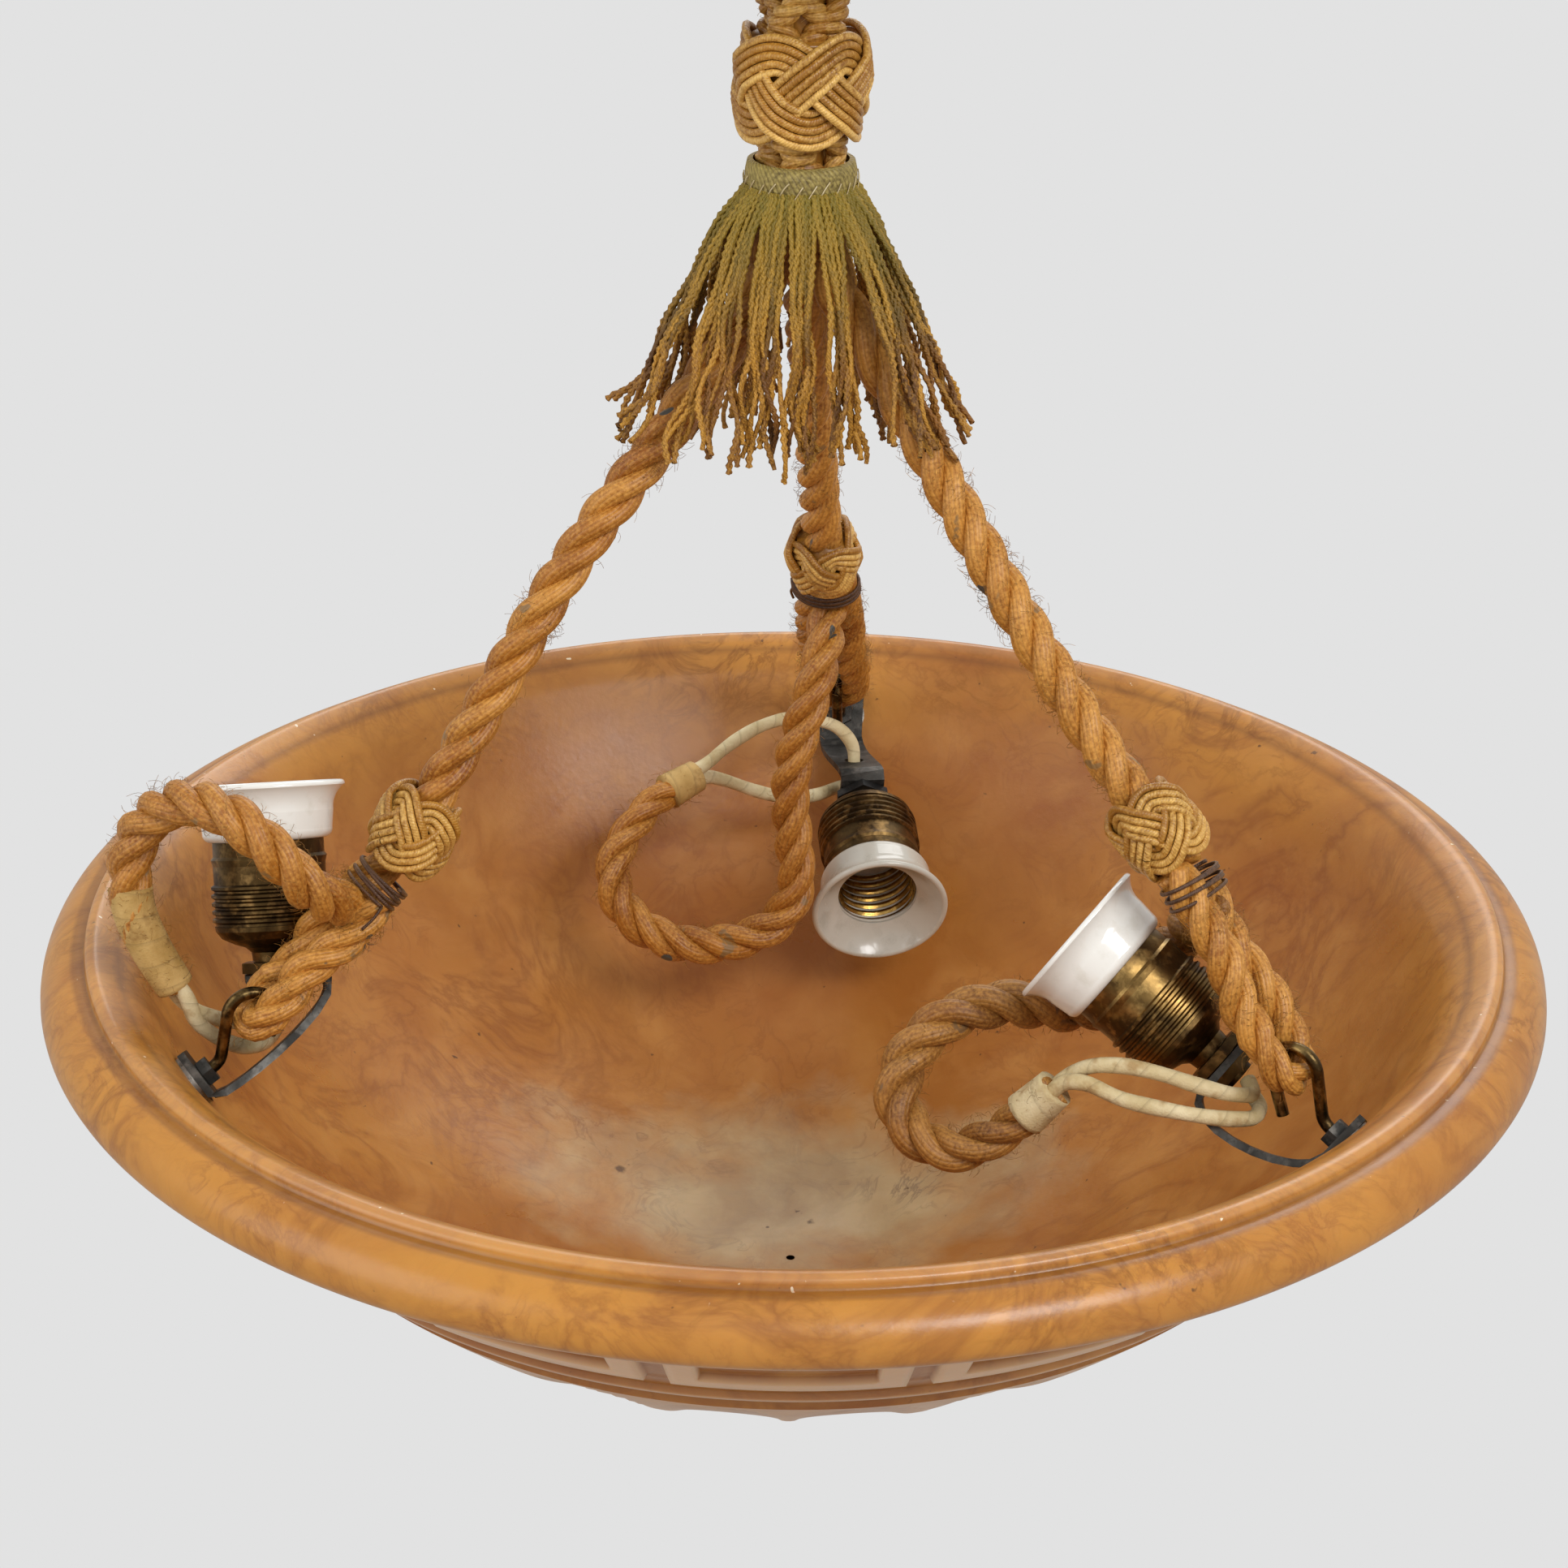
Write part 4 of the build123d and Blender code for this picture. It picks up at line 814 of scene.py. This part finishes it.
fringe = Shape()
for number in range(HANG):
    bunch = round(number / BUNCH) * BUNCH
    start_azimuth = 360 * number / HANG + random.uniform(-1.6, 1.6)
    gathered = start_azimuth + (360 * bunch / HANG - start_azimuth) * 0.45
    lift = drape(gathered)
    layer = random.uniform(-1.2, 0.8)
    swing = random.gauss(0, 2.6)
    low = random.uniform(-4, 7) + 4 * sin(bunch)
    points = [
        polar(start_azimuth, 16.0 + layer * 0.3, 247.0),
        polar(start_azimuth, 18.8 + 2 * lift + layer, 241.5),
        polar(gathered * 0.5 + start_azimuth * 0.5, 22.8 + 4.3 * lift + layer, 233.0),
        polar(gathered + swing, 27.6 + 14.5 * lift + layer, 208.0 - 2 * lift + low * 0.3),
        polar(gathered + swing * 1.6, 28.6 + 23 * lift + layer, 187.0 + low * 0.6),
        polar(gathered + swing * 2.4, 28.0 + 31.0 * lift + layer, 168.0 + 9 * lift + low),
    ]
    path = smooth_route(points, 0.0024)
    along, a, b = frames_of(path)
    phase = random.uniform(0, 6)
    share = along / along[-1]
    waves = 0.0021 * share ** 1.5
    path = (path + a * (waves * np.sin(along * random.uniform(130, 230) + phase))[:, None]
            + b * (waves * np.sin(along * random.uniform(130, 230) + 2 * phase))[:, None])
    along, a, b = frames_of(path)
    shade = random.uniform(0.2, 0.8)
    for k in range(2):
        angle = 2 * pi * along / PLY_LAY + phase + pi * k
        ply = path + (a * np.cos(angle)[:, None] + b * np.sin(angle)[:, None]) * PLY_OFF
        fringe.tube(ply, PLY_RADIUS, 5, tint=shade, ends=False)
fringe.build("hanging_fringe", "pendant", fringe_material, ["fringe"], "fringe_silk")

# white stitches round the collar
stitches = Shape()
for k in range(STITCHES):
    angle = 360 * k / STITCHES
    wander = random.uniform(-1.5, 1.5)
    ends = [polar(angle, 16.9, 246 + wander), polar(angle + 4, 17.1, 248 + wander),
            polar(angle + 9, 16.9, 250 + wander * 0.6)]
    stitches.tube(smooth_route(ends, 0.001), 0.00022, 5)
stitches.build("collar_stitches", "pendant", pale_tape, slot="fringe_silk")

# %% [markdown]
# Flex tails leave the lashings, curl in the bowl and end in two taped wires at each lampholder.

# %% flex tails, splices and wires
FLEX_ROUTES = {
    "left": [
        (-134, -62.5, 39.5), (-141, -84, 53), (-152, -87, 69), (-164.5, -83, 79.5),
        (-180, -73.5, 79.5), (-194, -65, 68.5), (-200.5, -63.5, 53), (-199.5, -66.5, 38.5),
        (-194.5, -68, 26), (-188, -68.5, 14),
    ],
    "right": [
        (122.8, -86, 50), (125, -66, 40), (120, -46, 24), (110.5, -42, 7), (96, -47, -2.5),
        (80.5, -52, 0.5), (64.5, -56, 5), (48, -61, 2.5), (36, -67.5, -6.5), (31.5, -75, -17),
        (36, -83.5, -25.5), (48, -91, -28.5), (60, -94.5, -21.5), (69.5, -96.5, -12),
        (78.5, -97.5, -1.5),
    ],
    "back": [
        (10.7, 121.9, 67.5), (10, 107, 58), (6, 97, 43.5), (0.5, 94.5, 26), (-2.5, 96, 6),
        (-0.5, 96, -15), (1.5, 94, -33), (-8, 91, -46.5), (-24, 88.5, -51.5), (-40.5, 87.5, -51.5),
        (-54.5, 89, -45.5), (-64, 93.5, -36), (-65, 101, -24.5), (-58.5, 109.5, -15.5),
        (-49, 119.5, -8), (-36, 130, -4.5),
    ],
}
WIRE_ROUTES = {
    "left": [
        [(-183, -65, 3.5), (-176, -60, -2.5), (-170, -56.3, -4.8), (-165.5, -53.6, -4.2),
         (-162.4, -52.4, -0.6)],
        [(-182.5, -70, 2.5), (-176, -66.5, -5.5), (-169.5, -62.5, -10.5), (-163.5, -59, -11),
         (-159.5, -57, -6), (-158.5, -56.5, 2.2)],
    ],
    "right": [
        [(88.5, -98.5, 7), (98, -101, 8.5), (109, -103, 7), (120, -104, 3.5), (130, -103, 0),
         (138, -98, -3), (136.5, -92.3, -1.2)],
        [(87.5, -103, 3.5), (97, -106.5, 0), (108, -108, -2), (119, -107.5, -4.5),
         (129.5, -105.5, -7), (138.5, -100.5, -9.5), (141, -93, -9.5), (136.8, -88.7, -6)],
    ],
    "back": [
        [(-25, 141.5, 2.5), (-14, 150, 6.5), (-4, 157, 7), (6, 162, 4.5), (15.5, 165, 0.5),
         (21.6, 166, -7.5), (21.8, 166, -18.5)],
        [(-25, 139, -10.5), (-13.5, 145.5, -18), (-2, 153, -24), (8.5, 162, -26.5),
         (17, 169.5, -26), (23.8, 163.2, -22.5)],
    ],
}
LAMP_AXES = {
    "left": Vector((-0.064, 0.402, 0.913)).normalized(),
    "right": Vector((-0.758, 0.355, 0.548)).normalized(),
    "back": Vector((0.107, -0.941, -0.322)).normalized(),
}
LAMP_MOUTHS = {
    "left": at(-164.0, -28.5, 64.0), "right": at(85.0, -63.4, 33.0), "back": at(30.9, 100.3, -43.8),
}
FLEX_SIZE = {"left": 0.0138, "right": 0.0146, "back": 0.0136}
SPLICE_POINTS = {"left": 30, "right": 12, "back": 12}      # of the route, under the tape


def flex_taper(t):
    """The flex thins towards its splice."""
    return 1 - 0.22 * np.clip((t - 0.72) / 0.28, 0, 1)


for side_name in SIDES:
    corners = [at(*p) for p in FLEX_ROUTES[side_name]]
    path = rounded_route(corners)
    flex = Shape()
    size = FLEX_SIZE[side_name]
    laid(flex, path, size, phase=0.6, lay=0.037, taper=flex_taper)
    colour = brown_rope if side_name == "right" else rope_material
    fibres = fuzz(path, size, 1100).build(f"flex_fibres_{side_name}", None, colour,
                                          slot="flex_cloth")
    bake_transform(fibres)
    flex = flex.build(f"flex_tail_{side_name}", None, colour, [f"flex_loop_{side_name}"],
                      "flex_cloth")
    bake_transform(flex)

    # the splice: tape over the last of the flex
    splice = Shape()
    part = path[-SPLICE_POINTS[side_name]:]
    splice.tube(part, np.linspace(size * 0.49, size * 0.43, len(part)), 16)
    splice = splice.build(f"splice_tape_{side_name}", None,
                          tan_tape if side_name != "right" else pale_tape, slot="cloth_tape")
    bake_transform(splice)

    heading = (corners[-1] - corners[-2]).normalized()
    apart = LAMP_AXES[side_name].cross(heading).normalized()
    for number, (sign, onward) in enumerate(zip((1, -1), WIRE_ROUTES[side_name]), 1):
        start = corners[-1] - heading * 0.003 + apart * (sign * 0.0029)
        path = rounded_route([start, start + heading * 0.008] + [at(*p) for p in onward])
        wire = Shape()
        wire.tube(path, 0.0024 + 0.00012 * np.sin(np.arange(len(path)) * 0.31 + sign), 12)
        replaced = [f"flex_wires_{side_name}"] if number == 1 else ()
        wire = wire.build(f"taped_wire_{side_name}_{number}", None, pale_tape, replaced, "cloth_tape")
        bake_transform(wire)
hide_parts("splice_tapes")

# %% lampholders: screw threads inside, the rest is the CAD
SOCKET_SIDES = 96
THREAD_RADIUS, THREAD_PITCH, THREAD_DEPTH = 0.01375, 0.0036, 0.00055


def turned_grid(shape, mouth, axis, profile, helix=0.0):
    """Surface turned round a lampholder's axis from (radius, distance back) points."""
    a = axis.orthogonal().normalized()
    b = axis.cross(a)
    angles = np.arange(SOCKET_SIDES) * 2 * pi / SOCKET_SIDES
    out = np.cos(angles)[:, None] * np.array(a) + np.sin(angles)[:, None] * np.array(b)
    rows = []
    for radius, back in profile:
        thread = helix * np.cos(2 * pi * (back / THREAD_PITCH) - angles)
        rows.append(np.array(mouth) - np.array(axis) * back + out * (radius + thread)[:, None])
    shape.grid(np.array(rows), np.arange(SOCKET_SIDES + 1) / SOCKET_SIDES,
               np.array([back for _, back in profile]))


for side_name in SIDES:
    mouth, axis = LAMP_MOUTHS[side_name], LAMP_AXES[side_name]
    socket = Shape()
    steps = np.linspace(0.0094, 0.0325, 60)
    turned_grid(socket, mouth, axis, [(THREAD_RADIUS, s) for s in steps], helix=THREAD_DEPTH)
    turned_grid(socket, mouth, axis, [(0.0001, 0.0286), (0.003, 0.029), (0.0042, 0.0328)])
    socket.build(f"socket_thread_{side_name}", f"arm_{side_name}", bright_brass,
                 [f"screw_shell_{side_name}"], "brass_bright")

# %% CAD pieces that are shown as they are
SHOWN = {
    "hook_bolts": bronze_material, "wall_washers": zinc_material, "wall_nuts": steel_material,
    "ceiling_plate": steel_material, "ceiling_hook": brass_material, "hook_nut": zinc_material,
    "terminal_block": block_material, "suspension_ring": brass_material,
    "cup_eye": brass_material, "rope_cup": brass_material, "canopy": brass_material,
    "canopy_screws": brass_material,
}
for side_name in SIDES:
    SHOWN |= {
        f"strap_{side_name}": steel_material, f"nipple_{side_name}": brass_material,
        f"nipple_nuts_{side_name}": black_material if side_name == "back" else brass_material,
        f"lamp_cap_{side_name}": brass_material,
        f"lamp_shell_{side_name}": warm_brass if side_name == "right" else brass_material,
        f"porcelain_core_{side_name}": inner_porcelain,
        # painted shade: the back ring takes the greyer copy of the glaze
        f"porcelain_ring_{side_name}": (shade_grey_porcelain if side_name == "back"
                                        else porcelain_material),
    }
for name, material in SHOWN.items():
    piece = nodes[name]
    piece.data.materials.clear()
    piece.data.materials.append(material)
    piece.data.polygons.foreach_set("use_smooth", [True] * len(piece.data.polygons))
    piece.data.set_sharp_from_angle(angle=radians(32))

# %% light and background
world = bpy.data.worlds.new("studio")
scene.world = world
world.use_nodes = True
tree = world.node_tree
tree.nodes.clear()
direction = add(tree, "ShaderNodeTexCoord").outputs["Generated"]
rise = add(tree, "ShaderNodeSeparateXYZ", {0: direction}).outputs[2]
sky = mixed(tree, between(tree, rise, -0.6, 0.9), srgb("#F0ECE6"), srgb("#FFFFFF"))
ambient = add(tree, "ShaderNodeBackground", {0: sky, 1: 0.62})
plain = add(tree, "ShaderNodeBackground", {0: srgb("#E2E2E2"), 1: 1.0})
seen = add(tree, "ShaderNodeLightPath").outputs["Is Camera Ray"]
both = add(tree, "ShaderNodeMixShader", {0: seen, 1: ambient.outputs[0], 2: plain.outputs[0]})
add(tree, "ShaderNodeOutputWorld", {0: both.outputs[0]})


def softbox(name, place, target, size, power):
    lamp = bpy.data.lights.new(name, "AREA")
    lamp.shape, lamp.size, lamp.size_y = "RECTANGLE", size[0], size[1]
    lamp.energy = power
    made = bpy.data.objects.new(name, lamp)
    scene.collection.objects.link(made)
    made.location = place
    made.rotation_euler = (Vector(target) - Vector(place)).to_track_quat("-Z", "Y").to_euler()


softbox("key", (0.75, -1.1, 0.75), (0, 0, -0.4), (0.9, 0.5), 16.0)
softbox("fill", (-1.2, -0.7, 0.2), (0, 0, -0.35), (1.0, 1.0), 6.0)
softbox("back", (0.2, 1.3, 0.6), (0, 0, -0.3), (1.2, 0.6), 8.0)
